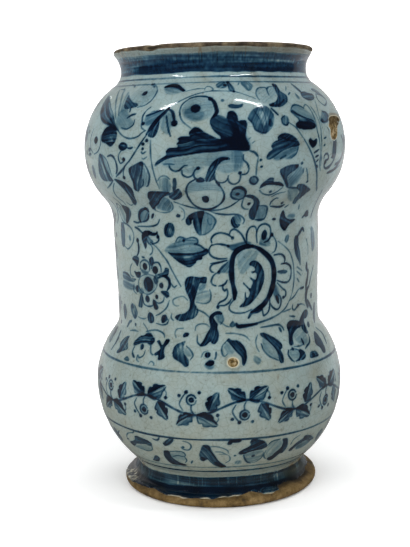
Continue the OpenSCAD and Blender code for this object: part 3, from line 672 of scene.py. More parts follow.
# From the widest part of the shoulder down to the waist: round berries, half-dark leaves, the flower's crown
WAIST_TOP_MARKS: tuple[Mark, ...] = (
    wash(.8, 18.5, 200.5, 19, 203, 21, 205.5, 22.5, 206.8, 24, 206.2, 24.3, 204.2, 27, 203.8, 29, 202.5, 29.8, 201,
         28.5, 201.5, 25, 202.3, 22, 202.5, 20, 201.5),
    line(.9, .5, 18.5, 199.4, 20.5, 197, 24, 195.8, 27, 197.5, 29.5, 200.4), dot(24, 198, .8, .6),
    line(.9, .5, 25.5, 194.5, 28, 196.4, 32, 197.4), line(1.3, .5, 32.5, 200.2, 35, 199.8, 38, 199.4),
    wash(.6, 37.5, 201.4, 40, 201.8, 43, 200.4, 47.5, 197.4, 46, 195.4, 44.6, 193, 43, 190, 42.5, 188, 41, 188,
         39.8, 189.5, 40, 192.5, 40.6, 196.6, 38, 199), wash(.15, 33, 199.6, 38, 199, 40, 195, 39, 190, 35, 193),
    wash(.18, 6, 197.5, 6.7, 200.2, 9, 201.4, 11.5, 200.4, 12.5, 198, 12.4, 195.4, 11, 193.8, 8.5, 193.7, 6.7, 195),
    line(1.1, .7, 12.4, 198, 12.3, 195.4, 11, 193.8, 8.5, 193.6, 6.7, 195, 6, 197.5, 6.7, 200), dot(9, 197.3, .9),
    line(1.6, .8, 6.6, 200.2, 8, 201.3, 10, 201.4, 12, 199.6, 12.6, 197.4),
    wash(.13, -12, 203, -8, 206, -3, 205, 1, 202, 2.4, 199, -5, 200, -12.4, 199),
    line(1.2, .85, -8.6, 207, -11.5, 204.6, -13, 201, -13, 197.5, -12.3, 194, -11, 190.5, -8.5, 188, -5, 187,
         -1.5, 187.8, 1.5, 190.5, 3, 194, 3, 198, 1.6, 202, 0, 204.6),
    wash(1, -6.4, 195.5, -5, 196.5, -3.8, 195.5, -3.8, 193, -4.7, 191.8, -6, 192.5),
    wash(.9, -8.5, 206, -7, 207.8, -5.5, 207.3, -5, 205.8, -7, 205),
    line(2.3, .6, -17.4, 207, -17.8, 203.4, -18.6, 200),
    wash(.75, -21.5, 196, -20.5, 198.5, -18, 200, -16.5, 201.4, -15.5, 199.5, -15.5, 196.5, -17.5, 194.5, -20, 194),
    wash(.78, -33.7, 190.5, -33, 187, -31.5, 186.5, -31, 188.5, -28.5, 190.5, -26.5, 193.5, -24, 196, -21, 197.6,
         -21, 199, -25, 199.4, -28, 199.6, -31, 199, -32.5, 196, -32.6, 193),
    wash(-.18, -29, 197, -26, 197.4, -27, 194.6, -29.4, 193),
    wash(.24, -30.5, 188, -27, 186, -24, 186, -22, 189, -22, 194, -24.6, 195.4, -27, 192),
    line(.8, .4, -32, 186, -28, 184.8, -24, 185.3, -21.5, 188, -21.3, 192),
    wash(.75, -49, 206.4, -46, 206.2, -42.5, 204.5, -40, 201.5, -39.6, 199.4, -40.6, 195, -41, 192, -43, 189.4,
         -44.5, 189.6, -43.9, 194, -44.5, 199, -46.5, 203), line(1, .45, -50, 204, -53, 200, -54, 196, -53, 192),
    line(.9, .5, -58, 200.4, -54, 202.6, -50, 205.6), line(.8, .4, -45, 189.5, -47, 188.8, -49, 190.6),
    line(1, .35, -58, 194, -56, 190, -55, 187), line(1, .3, -54, 195, -52, 192, -51, 189),
    wash(.68, -56, 187.4, -53, 188, -50, 186.4, -49.8, 183.5, -52, 180, -55.5, 177, -56.5, 178.5, -55, 182),
    line(1, .4, -57, 187, -60, 189, -62, 185, -61, 179, -57.5, 177),
    wash(.1, -57, 186, -60.6, 186, -60, 180, -57, 178),
    wash(.2, -43.6, 180, -43, 183, -40, 186, -37, 187, -36.4, 184, -38, 180.6, -41, 179),
    line(1.7, .8, -37, 187, -40, 186.2, -42.8, 184, -44, 181, -43.4, 178.6),
    line(1, .7, -43.2, 178.5, -40.6, 179, -38, 180.4, -36.6, 183.6),
    wash(.7, -39, 186.6, -37.4, 188, -36, 187, -36.2, 184.6, -37.6, 186),
    line(1.1, .7, -49, 178.5, -46, 178, -43.5, 178.7), line(1.5, .9, -35.2, 181.3, -33.7, 183.7),
    line(1, .6, -46, 176, -40, 176.2, -35, 176.7, -32, 178, -30.4, 180.6),
    line(1.3, .75, -48.5, 175.3, -46, 174.6, -42, 172),
    line(.95, .52, -37, 167.5, -33, 164.5, -30, 161, -27, 157, -24, 151, -20, 143.6),
    wash(.95, -43.3, 170, -42.5, 172.5, -40.5, 173.7, -38, 173.8, -35.5, 173, -33.5, 172.8, -32.8, 173.7,
         -32.4, 172.8, -34, 171.5, -37.5, 171.4, -39.3, 170.4, -40, 168, -40, 165, -41, 163.8, -42, 166, -43, 168),
    wash(.45, -39, 171, -37, 169.4, -35.4, 168, -36, 166, -38.5, 166.4, -39.8, 168.4),
    line(1, .7, -32.6, 172.4, -31.7, 170.5, -32, 168.6, -33.5, 167.4, -36, 166.6), dot(-32.3, 170.8, .9, .8),
    line(.9, .5, -37.5, 166.4, -36, 164, -36.5, 161.6, -38, 160.4),
    line(1.2, .8, -46.7, 168, -46, 164, -46.5, 161, -48, 159), dot(-46.7, 168, 1.1, .9),
    wash(.78, -28.3, 174.5, -27.3, 177.5, -25, 178.8, -23, 178, -22.3, 174.5, -23.5, 171.5, -26, 170.8, -27.8, 172),
    wash(-.45, -26.2, 175, -24.8, 176, -24, 173.6, -25.4, 172.4),
    line(1, .45, -60, 177, -56, 176.4, -52, 174.5, -49.8, 171, -50.5, 167, -53, 164, -56, 162.3, -59, 163.4),
    wash(.55, -63, 176, -60, 176.4, -58.5, 172, -59, 166, -59.6, 163.4, -63, 165),
    wash(.3, -54.4, 170, -53, 170, -52.6, 167.6, -54, 167.6),
    line(1, .6, -20, 192.4, -15, 189.5, -9, 187.4, -4, 186.4, 1, 186.5, 6, 188.5, 9, 191.5, 10.5, 193.6),
    line(1, .6, -4, 186.4, -1, 184.5, 4, 183.5, 9, 183.5, 12, 182.4, 13.8, 180, 13.2, 178),
    wash(.78, 7, 180.5, 8.4, 182.4, 9, 180, 9.5, 178, 11.6, 177.6, 10.5, 176, 8.5, 176, 7.2, 178),
    wash(.35, 8.6, 182.6, 10.5, 182.8, 12, 181, 11.8, 178.5, 9.8, 178.5),
    wash(.88, -6.3, 185.7, -10, 185.5, -13.5, 183.7, -15.7, 181, -15.8, 178.8, -14.5, 177.7, -13.2, 178.5, -13, 180,
         -12, 181, -12, 178.5, -11.3, 175.5, -10, 173, -8.8, 171.9, -8.2, 173, -7.9, 178, -7, 182.4),
    wash(-.25, -10.4, 181, -9.2, 181, -9, 176, -10, 176),
    wash(.15, -7, 185, -4, 184, -1.5, 181, -1.5, 178, -4, 174, -7.5, 172.5, -7.5, 178),
    line(.9, .5, -5.5, 185, -2.5, 183, -.7, 180, -1.5, 177.5, -3, 175, -6, 172.8, -8, 172.3),
    line(.7, .3, -5, 181, -4, 178, -2.6, 178.4),
    wash(.9, -20.7, 183, -19.8, 184, -18.5, 183.2, -19, 182.2, -20.3, 182.2),
    line(.7, .3, -18, 189, -16.2, 186, -16.5, 182, -18, 180.5),
    wash(.22, -28.4, 163.5, -25.5, 166.4, -22, 168, -19, 170.6, -15, 170.3, -11, 169.6, -9, 166.5, -6.5, 164.5,
         -12, 162.5, -20, 162.2, -26, 162),
    line(.9, .65, -22, 168.4, -20.6, 170.6, -19, 171.1, -17, 170.4, -16.8, 169.4), dot(-17.5, 169.2, .8, .8),
    line(.9, .65, -16.5, 170, -13, 171, -10.5, 170, -10.3, 168, -12, 167.2),
    line(.9, .65, -12, 167.4, -9, 166.4, -6.8, 164.6),
    wash(.88, -26.4, 162.4, -24, 162, -18, 162.2, -12, 162.3, -8.5, 163.2, -6, 164.8, -5, 163.5, -5.5, 162, -8, 160.5,
         -8.5, 159, -11, 158.3, -12, 156.5, -15, 154.5, -18, 155.8, -21, 157.5, -24, 160),
    wash(-.22, -18, 160.4, -13, 160.6, -12, 158.6, -16, 156.8), line(1.2, .35, -25, 161.6, -16, 161.4, -7, 163.4),
    wash(.7, 12, 196, 15, 196.5, 18, 194.5, 20.5, 190, 20, 184, 19, 180, 16.6, 181, 16, 185, 17.5, 190, 16.5, 193.4,
         13.5, 195), line(.9, .5, 12, 194, 11.8, 189, 13.5, 186.6, 15.5, 186.4), dot(15.2, 190, .9),
    line(1, .6, 20, 188.2, 24, 188, 25.5, 186, 25.5, 182, 24.5, 180), line(1.4, .7, 19.6, 180, 22, 179.5, 24.6, 180),
    wash(.2, 20, 187.6, 24, 187.4, 25, 182, 23, 180, 20, 181),
    line(.9, .6, 26.5, 188, 26.5, 190.5, 28, 193, 29.6, 193),
    line(1.3, .75, 27, 187.5, 31, 186.8, 33.5, 187, 35, 188), dot(33.2, 189.2, .8, .7),
    line(.9, .5, 36, 186, 38, 187.5), line(1.3, .9, 29.6, 179.6, 31.4, 179.3),
    wash(.88, 35.3, 184.2, 34.2, 180, 34.5, 176, 36.5, 173, 38, 172.7, 39.5, 174.3, 41.5, 176, 44.5, 177.4, 45, 178.4,
         42, 178.4, 40, 178.8, 38, 180, 36.5, 183), wash(.2, 40, 181.4, 43, 182.2, 45, 180.4, 43.5, 179, 40, 179.3),
    line(.9, .4, 46, 187, 47, 184), wash(.65, 53.5, 180, 55, 182.4, 57, 182, 58, 179.5, 55.5, 178.8),
    line(1.3, .75, 51.5, 178.5, 54, 180), wash(.4, 37.5, 167, 38.5, 169.4, 40.3, 170, 40.3, 167.5, 38.8, 165.6),
    line(1.1, .8, 20.6, 167, 20.3, 172, 22, 176, 25, 177.2, 28, 175.5, 28.5, 171, 27, 168, 24.5, 167),
    wash(.9, 24, 168.4, 23, 170.5, 24, 173, 25.3, 173.7, 26.3, 172, 25.6, 169.4),
    wash(.3, 22, 166, 23.4, 170, 27, 169, 28, 165), line(1, .7, 29.2, 171, 31, 168.5, 32, 165.5, 31, 162, 29, 160.6),
    dot(29.3, 170.8, 1, .8),
    line(.9, .5, 33, 167, 37, 164, 41, 160, 43.6, 154, 44.6, 147, 44, 140, 42.4, 135, 40, 131),
    wash(.6, 45, 168, 46.5, 169, 48, 167.4, 48.3, 163, 49.6, 159, 50.2, 155, 50, 151.5, 48.4, 154, 46.3, 157, 45, 160,
         44.5, 164), line(1.7, .6, 47, 168, 49.5, 170.5, 52, 172.4, 53.2, 171),
    line(1, .4, 56, 166, 57.5, 162, 58, 157), wash(.25, 62, 172, 66, 170, 68, 162, 64, 158, 62, 164),
    line(1.4, .5, 60, 196, 63, 190, 64, 184, 62, 178), line(1.3, .4, -66, 192, -64, 186, -66, 180, -69, 176),
    line(1, .75, -3, 168, -3.3, 170, -1.5, 172.4, 1.5, 173.3, 5, 172.4, 7.5, 170.5), dot(7.6, 170.3, .8, .8),
    line(1, .7, 6, 172.5, 7, 174.5, 9, 175, 12, 172.5, 14, 168.5, 15, 166.6),
    line(1, .7, 15, 168, 15, 172, 16.5, 175.3, 18.5, 176.2, 20, 175.4, 20.4, 173),
    line(1, .75, -3, 167, -4.5, 164.5, -4.3, 162, -2.5, 160, 1, 159, 4.5, 159.3),
    line(1, .75, -3, 166.6, 0, 167.2, 4, 166.5, 6, 165.8),
    wash(.32, 4.5, 166.3, 8, 167, 14, 168, 17, 167, 11, 165, 8, 163.4), dot(5.2, 166, .8, .6),
    line(.9, .65, -4, 156.5, 0, 157.2, 4.4, 158.2),
)

# The drop-shaped flower, the rosette and the leaves down to the plain field
WAIST_LOW_MARKS: tuple[Mark, ...] = (
    line(2.9, .92, 18, 165.4, 14, 165.2, 10, 163.4, 7.6, 160, 6.8, 155, 6.7, 150, 7.2, 145, 8.1, 140, 7.9, 136.6),
    line(3.1, .94, 17, 165.5, 21, 164, 25, 160.8, 28.4, 157, 30, 152.6, 30.4, 148, 29.8, 143.6, 28.4, 139,
         26.4, 135.4, 23.6, 132, 20, 130, 17, 128.6),
    line(.9, .65, 8.6, 137, 6.5, 134.8, 5, 132, 6, 129.6, 9, 128.4, 13, 128.5, 17, 130),
    wash(.86, 18.3, 157.3, 16.3, 156, 16.4, 154.9, 18, 154.2, 19.3, 152.8, 18.8, 151.5, 17.4, 151.3, 17.6, 150.4,
         19.5, 150.5, 20.3, 149, 19.3, 146.5, 16.2, 148.2, 18, 145.5, 17.3, 143.3, 16.2, 141.8, 13, 145.2,
         12.9, 144.6, 15.3, 141.8, 16.3, 139.5, 15.2, 136.8, 14.2, 137.2, 13.9, 139.7, 13.6, 139.5, 13.4, 136,
         12.5, 134, 10.5, 132, 13, 131.8, 16, 133, 19, 135.8, 22, 140, 24, 145, 24.3, 149.5, 23, 153.5, 20.8, 156.3),
    wash(-.25, 20, 154.6, 21.6, 152, 21, 149.6, 20, 151), wash(-.2, 19, 144, 21.4, 145.6, 20.4, 141.4, 18.4, 139.6),
    line(1.1, .4, 20.8, 156, 23.4, 152, 24, 147, 22.4, 141), wash(.12, 10, 161, 16, 163, 21, 161, 12, 150),
    line(1, .7, 4.5, 158, 0, 156.8, -3, 156, -4.3, 154, -3.7, 152.2, -2.6, 151.6),
    line(1.4, .6, 4.8, 157, 2, 154.5, 0, 152), wash(.3, 5.6, 158, 5.8, 152, 2, 151.4, 0, 152.2, 2.4, 154.6),
    line(1.1, .75, 0, 151.8, -2.5, 150, -3.8, 147, -3.3, 145, -1.5, 144.1),
    line(1.1, .8, 0, 144, 2, 144.3, 3.5, 145.5, 4.3, 147), dot(.2, 151.6, .9, .7),
    line(1.1, .8, 2, 145, 2, 142.6, 3, 141.3, 4, 142, 4.5, 140, 4, 137.6, 2.5, 136, .5, 135, -.7, 133.6, -.8, 132),
    line(1, .7, 0, 133, 2.5, 133, 5, 134.5, 6.3, 136.6), dot(-.8, 132.2, .9, .7),
    line(1.2, .88, 30.4, 159.5, 34, 159.7, 36.5, 158.5, 37.6, 156.5, 37.2, 155),
    line(1.2, .88, 35, 154, 38.5, 154, 41.5, 152, 42.3, 148.5, 41.5, 145, 39.5, 143.3, 36, 143.5, 32.4, 145),
    wash(.6, 32.5, 150, 35, 150.5, 38.5, 150, 39.3, 149, 37, 148.3, 34, 148.7),
    line(1, .78, 32.4, 143.6, 36, 140, 38, 138.5, 38.3, 136.5, 37.5, 135, 36.4, 134.9), dot(36.5, 134.9, .8, .7),
    line(1, .75, 33, 137, 34.5, 135.5, 35, 132.5, 34, 129.5, 32, 128.5, 29.5, 130, 28, 132.4),
    line(1.6, .9, 31.6, 136, 32.6, 134, 33.3, 132),
    wash(.32, 30.5, 143, 33, 141, 34, 136.5, 33.5, 132, 32, 134, 30, 138),
    line(1, .75, 27.6, 137, 27.6, 131, 26.5, 127.6, 24, 126, 23.4, 128, 23, 130),
    line(2, .8, 23, 129.7, 20, 128.5, 17, 128, 15.3, 125.4),
    line(1.2, .6, 40, 131, 38, 128.6, 34, 126, 28, 123.8, 22, 122.4, 16, 121.4, 9, 121.4),
    line(1.8, .75, 8.6, 122.6, 9.6, 121, 13, 121, 20, 121.6),
    line(.9, .5, 40.5, 132, 45, 134.5, 48, 137.4, 50.4, 138.4), line(.9, .5, 36, 126.4, 39, 127, 42, 127.5),
    line(.9, .45, 47, 151, 52, 148), line(.9, .45, 47, 148.5, 51, 145.5), line(.9, .45, 47, 144.5, 49, 142),
    line(1.9, .82, 58.5, 147.4, 57.8, 144, 56.2, 138.4, 56.6, 134), line(1.6, .72, 58, 130, 61, 126.4, 64, 123.4),
    line(1.4, .85, 50.4, 138, 53.6, 138.4),
    line(1.1, .6, 43.6, 129.6, 43.3, 127.5, 45, 126.5, 48, 128.5, 51, 129, 55, 127.5),
    line(1, .55, 41, 123.5, 45.5, 122.5), line(2, .75, 56.5, 152, 56.5, 149, 58.5, 146.5), dot(48, 128.6, .9, .5),
    line(2.3, .75, 59.5, 138, 57, 136, 56, 132, 57, 128, 58.5, 126), line(1.4, .5, 66, 149, 62, 143, 60, 138),
    wash(.5, 5, 121.6, 6, 123.5, 7, 124, 8, 121.6, 6.5, 120.6), line(.7, .45, 0, 124, 3, 121.6, 5, 120.8),
    wash(.82, -17.7, 146, -16.5, 148.5, -14, 149.3, -10, 148.8, -6.5, 149, -6.3, 147, -7, 145.6, -9.5, 145.8,
         -10.5, 144, -11.5, 141, -12.2, 138.5, -13, 136, -13, 134, -11.5, 131.5, -11.3, 129, -13.5, 126, -17, 124.8,
         -20, 124, -22.6, 124.4, -24, 126, -22, 127.6, -18.5, 128.5, -16, 131, -15.3, 134.5, -15.8, 137.5, -17, 140,
         -17.7, 143), wash(.3, -16, 145, -13, 144, -12.6, 138, -14.6, 136, -16.4, 140),
    wash(-.24, -13, 146, -9, 147.6, -11.6, 142.4, -13, 144), wash(-.2, -16, 130, -13.4, 131.6, -13, 128, -17, 126.4),
    wash(.2, -7, 146, -7.4, 143, -10, 141.6, -10.6, 144),
    line(.9, .42, -4.8, 142, -4.2, 139, -5, 135.5, -8, 134.2, -12, 135),
    wash(.12, -5.4, 141, -5, 136, -9, 135, -12, 136, -10.6, 141),
    line(.9, .4, -16.6, 136, -19, 138, -22, 137.4, -24.6, 136, -25, 134, -23.6, 132.6, -21.6, 132.6),
    line(.9, .5, -12, 131, -8, 129, -5.6, 126.6),
    wash(.9, .8, 129.3, -1.5, 129.8, -4.5, 128, -5.5, 125.5, -5, 122.5, -5, 120.6, -7, 117, -8.5, 113.5, -10, 111,
         -9.5, 110, -7.5, 110.5, -6, 112, -5, 113, -4, 111.8, -2.5, 111.6, -1, 114, -.8, 117.5, -1.5, 120.5,
         -1.2, 122.5, -2.5, 124.5, -3.2, 126.5, -1.5, 128, 1, 128),
    wash(-.22, -5, 117.6, -3, 119, -2.4, 115, -4.6, 114.6), wash(.28, -2, 127, 1, 128.4, 1.8, 125, 0, 122.6),
    line(.8, .42, -13, 119, -12.5, 121.5, -10, 122.8, -7, 122.5, -5.5, 121),
    line(.9, .5, -12, 116, -11.6, 112.6, -10, 110.6), line(.8, .4, 1.4, 128, 2, 125, .4, 122.4),
    dot(-40.2, 143.5, 3.9, .88), wash(-.3, -41, 145.8, -39.4, 146.2, -39.4, 144.4, -40.8, 144.2),
    wash(.08, -45.6, 143.6, -43, 148.4, -38, 148.6, -35, 144, -38, 138.8, -43, 138.8), dot(-42, 153.5, 1.8),
    dot(-35, 152, 2), dot(-31.5, 143.5, 1.4), dot(-34.8, 136.8, 1.1), dot(-41.5, 134.9, 1.8), dot(-49, 140, 1.8, .85),
    line(1, .5, -45.6, 151.6, -45.6, 155, -43, 157, -40, 156.6, -38.6, 154, -39, 151.6),
    line(1, .6, -37.6, 152.6, -36, 155.6, -33, 156.4, -31.3, 154, -31.2, 151),
    wash(.3, -45.4, 152, -43, 151, -39, 151, -38.6, 154, -40, 150, -44, 149.6),
    line(.75, .48, -40.2, 149.3, -36, 148.4, -34.2, 145.6, -34.8, 142, -38, 138.8, -41.6, 137.6, -46, 139.2,
         -48, 142.6, -46.4, 146.6, -43.2, 148.6, -40.4, 149.2),
    line(1.7, .85, -33.4, 147.6, -30, 149, -27, 147.4, -26.4, 144, -28, 141),
    line(.9, .5, -36.6, 134.6, -34, 133.2, -31, 134.5, -30, 137),
    line(.9, .55, -45, 135.4, -44.5, 132, -41.5, 130.8, -38, 131.5, -37.6, 134),
    line(.9, .5, -52, 142.4, -52.6, 138.6, -50, 137),
    wash(.78, -51, 150, -49, 149.5, -46, 150, -46, 147.5, -48, 146.5, -50, 148),
    line(.9, .5, -53, 154, -55, 151, -54.5, 147.4, -51.6, 146.6),
    wash(.72, -52.3, 157, -50, 158.8, -47, 158.4, -46.5, 156.5, -48, 153.2, -50, 155.5),
    wash(.74, -38.6, 158, -36.6, 159.3, -35.5, 156.5, -37.4, 154.2, -38.5, 156),
    wash(.8, -34, 149.5, -30, 151, -28.5, 153.5, -26.6, 153, -27, 150, -29, 148.5, -32, 148.7),
    wash(.85, -32, 140, -28, 140.4, -27, 138, -28.5, 136.8, -30, 138),
    wash(.8, -37.3, 135, -36, 134, -34.2, 131, -35, 129.6, -36.8, 130, -37.5, 132.5),
    wash(.6, -45, 137, -46.5, 137, -49, 131, -48.5, 129.6, -46, 129.6, -45.5, 133),
    line(1, .7, -44, 158.8, -42, 158.5), wash(.35, -45.6, 141, -43.8, 138.4, -46.4, 137.4, -48, 138.4),
    wash(.5, -36.4, 147, -34.4, 149.6, -33.2, 146, -35, 144),
    wash(.5, -64, 148, -58, 148, -54, 145.5, -50, 145.5, -52, 143.8, -57, 143.5, -64, 144.4),
    wash(.22, -64, 143, -54, 142, -50, 140, -56, 138.6, -64, 139.4), line(.9, .5, -25.6, 145, -24, 143, -22.4, 144),
    line(.9, .45, -27, 135.4, -29, 131, -33, 127.5, -36, 126), line(.8, .45, -26, 128, -26.4, 125.6, -25, 124),
    wash(.5, -57, 128, -55.5, 130.4, -52.5, 130, -50.3, 126.5, -51, 123.5, -53, 122, -55.5, 124),
    wash(-.3, -55, 127.4, -53, 128, -53, 124.6, -54.6, 125),
    wash(.72, -42, 124.5, -41, 127, -39, 127, -37.5, 125, -37.5, 122.5, -39, 121.4, -41, 121.6),
    wash(-.35, -39.4, 125, -38.2, 124.6, -38.4, 122.6, -39.4, 123),
    wash(.88, -32.5, 124, -31.5, 126.4, -29.5, 126.7, -28.5, 124.5, -29.5, 123.5, -30.5, 122.6, -32, 122.2),
    line(.8, .5, -36, 121.6, -32, 121, -29, 122, -27.8, 124.6), line(.8, .3, -50, 123.6, -46, 123, -43, 123.6),
    wash(.8, -49, 108, -48, 111, -46, 113, -44, 113.5, -42, 115.4, -39.5, 115.4, -37.5, 113.7, -36, 112.4, -35.7, 110,
         -37.5, 108.4, -39.5, 109.5, -42.5, 109.2, -45, 108, -47.5, 106.6),
    line(.7, -.35, -46, 111, -41, 111.6, -38, 111.2), line(.7, -.3, -45, 112.8, -41, 113.4),
    dot(-36.9, 111.4, 1.6, .4), wash(.78, -43, 108.4, -41.5, 108, -40.7, 106, -41.8, 105, -43, 106.5),
    line(1.3, .7, -47, 106, -47, 103, -45.5, 101, -44.2, 100),
    line(1, .6, -39, 105, -39, 102, -41, 100.4, -42.6, 101.6, -42.2, 99, -40.5, 98),
    line(1.3, .6, -37, 109, -36, 106, -35, 104, -33.4, 103),
    line(1, .5, -43, 116, -38, 117.4, -34, 117.4, -31, 116, -30, 114),
    line(.8, .4, -45.4, 120.4, -43, 118, -41.6, 116),
    wash(.9, -34, 111.5, -32.5, 112, -30.5, 109.5, -29.5, 110.5, -28.8, 113, -26.8, 113, -27, 111, -28.3, 108.5,
         -28, 105, -27, 102.5, -28.5, 101, -30, 101, -30.5, 103.5, -32, 103, -33, 104, -30.7, 106.5, -31, 108.5,
         -33, 110.4),
    wash(.65, -59.5, 108, -58, 110.4, -55.5, 111, -54.5, 108.5, -52, 105, -51.5, 103.5, -54, 102, -58, 99.8,
         -59.5, 100.5, -58.5, 103, -60, 105.5), line(.8, -.25, -58, 106, -55, 105, -53, 103.6),
    line(2, .6, -61.5, 116, -59, 119, -56.5, 120.2), dot(-52.5, 118.7, .8, .7),
    line(.9, .45, -57, 114.4, -53, 115.2, -49, 115), wash(.4, -51, 97.6, -49.5, 99.5, -47.5, 98.5, -47.5, 97.2),
    line(.7, .4, -34.5, 97.6, -33.5, 99.4, -31.8, 98.4, -31.8, 97.2),
    line(.8, .42, -19.4, 120, -23, 119.4, -24.3, 117, -23.4, 114.6),
    wash(1, -19.7, 116, -18.5, 117.4, -16.5, 117.2, -17, 115.8, -19, 115.2),
    wash(.78, -23.5, 107, -22.5, 110.4, -20, 112, -18, 112.8, -18.5, 109.5, -17.5, 105.5, -15, 102, -14.5, 99,
         -16, 98, -18, 100, -20.5, 101.5, -22.5, 103), wash(-.2, -21.4, 108, -19.6, 109.6, -19.6, 105, -21.4, 105),
    line(.9, .5, -17, 110, -14.5, 107.5, -13, 104.5, -14, 102), wash(.14, -18, 109, -15, 107, -13.8, 104, -16.6, 105),
    dot(-6, 105, 1.5), wash(.95, -6.8, 100, -5, 102, -3.2, 101.5, -3, 99.8, -4.5, 98.7, -6, 99),
    wash(.25, -7, 99.5, -6, 97.4, -4, 97, -3, 98.6), line(1, .6, -2, 106.5, -2, 104.5, -2.5, 102.5),
    line(.7, .35, -9, 103.6, -8, 106.4, -6, 107.4),
    wash(.78, 3.3, 113.2, 4.5, 114.4, 6, 113.3, 9, 113, 11.5, 110, 12.5, 106, 12.3, 102, 10.8, 98.5, 10, 99.5,
         10, 103, 8, 106, 6, 109.5, 4.5, 112), wash(-.2, 7, 110, 9, 109.6, 9.6, 105.6, 8, 107.4),
    line(1.2, .35, 10, 112, 12, 107, 11.6, 101), line(.9, .6, 3, 112.8, 1, 110, .8, 106, 2, 104, 3.5, 105.5),
    wash(.12, 3.4, 112, 1.6, 109, 1.6, 105.6, 5, 105, 7, 107), line(.8, .4, 3, 117.4, 8, 117, 13, 115.4, 15.5, 112.6),
    wash(.28, 15.5, 101, 16, 103.4, 17.5, 102.5, 19, 101, 18, 98.6, 16.5, 99),
    wash(.82, 21.5, 116, 24, 116, 27.5, 114, 30.5, 111.5, 32.3, 108.5, 31.8, 106, 30.5, 105, 31, 102, 30.3, 98,
         29, 97.6, 28.3, 99, 28.3, 104, 27, 108, 25, 111.5, 22.5, 114),
    wash(-.2, 26, 113, 28.6, 110.6, 29.6, 106, 28, 109),
    line(1, .6, 21, 110, 21.5, 106, 23.5, 102.5, 26, 100.5, 28, 99.2),
    line(.9, .45, 20, 115.4, 18.5, 112, 18.3, 108, 19, 105.5),
    wash(.15, 22.6, 113, 25.6, 110, 27.8, 104, 28, 100, 24, 103, 21.8, 107),
    line(1.1, .6, 22, 119.4, 28, 119.7, 33, 119.7, 35.5, 118, 36.5, 116),
    wash(.5, 33, 118.2, 34.5, 117.5, 35, 115.5, 34, 115.5),
    wash(.88, 38.8, 118, 40, 120.3, 43, 120.6, 46.5, 120, 49.5, 118.5, 50, 116, 47, 115.5, 44, 114, 41.5, 112,
         40.3, 109.5, 39.5, 107, 37.5, 106.5, 37, 108, 38.3, 111, 39.5, 114.5),
    wash(-.2, 41, 116, 44, 116.4, 43, 114.4, 41, 113), line(1.7, .78, 46.6, 109, 46.3, 105.6),
    line(1.1, .6, 54, 110.4, 53, 108, 51, 105.5, 48, 104, 46, 102.8), line(.9, .55, 39, 105.5, 43, 105, 46, 105.5),
    wash(.13, 42, 112, 48, 115, 52, 112, 50, 106, 44, 106), dot(37.8, 104.3, .9, .7),
    wash(.72, 41, 103, 43, 102.8, 44.7, 100.5, 43.5, 97.6, 40, 97, 37, 97, 39.5, 98.4, 41, 100.5),
    line(1.2, .7, 35, 104, 34, 101.5, 35, 98.5, 36.4, 97), line(.9, .55, 36, 104, 39, 104, 41, 103),
    wash(.12, 35, 103, 40, 103, 41, 100, 37, 97.6),
    wash(.5, 47.3, 97, 48, 99.5, 50, 100.3, 53, 99.5, 54, 97, 52, 96.4), dot(50, 98, 1.2, .5),
    wash(.7, 49, 119, 51, 122, 54, 124.6, 57, 124.4, 58.4, 122, 56, 120, 53.6, 119.6, 54.6, 115, 55, 111.6, 53, 111,
         51, 113.5, 50.4, 116.4), dot(58, 115.7, 1.6, .7),
    wash(.72, 55.8, 103.5, 57, 106.5, 59.5, 109.5, 62, 110, 63, 104, 62, 97.6, 59, 97.2, 58, 100.5),
    dot(63, 132, 1.4, .6), wash(.5, -67, 126, -64, 129, -62, 124, -65, 120),
    line(1.6, .5, -68, 112, -65, 106, -66, 100), wash(.5, 66, 124, 69, 127, 70, 119, 67, 115),
    line(1.5, .5, 66, 112, 69, 107, 67, 101),
)

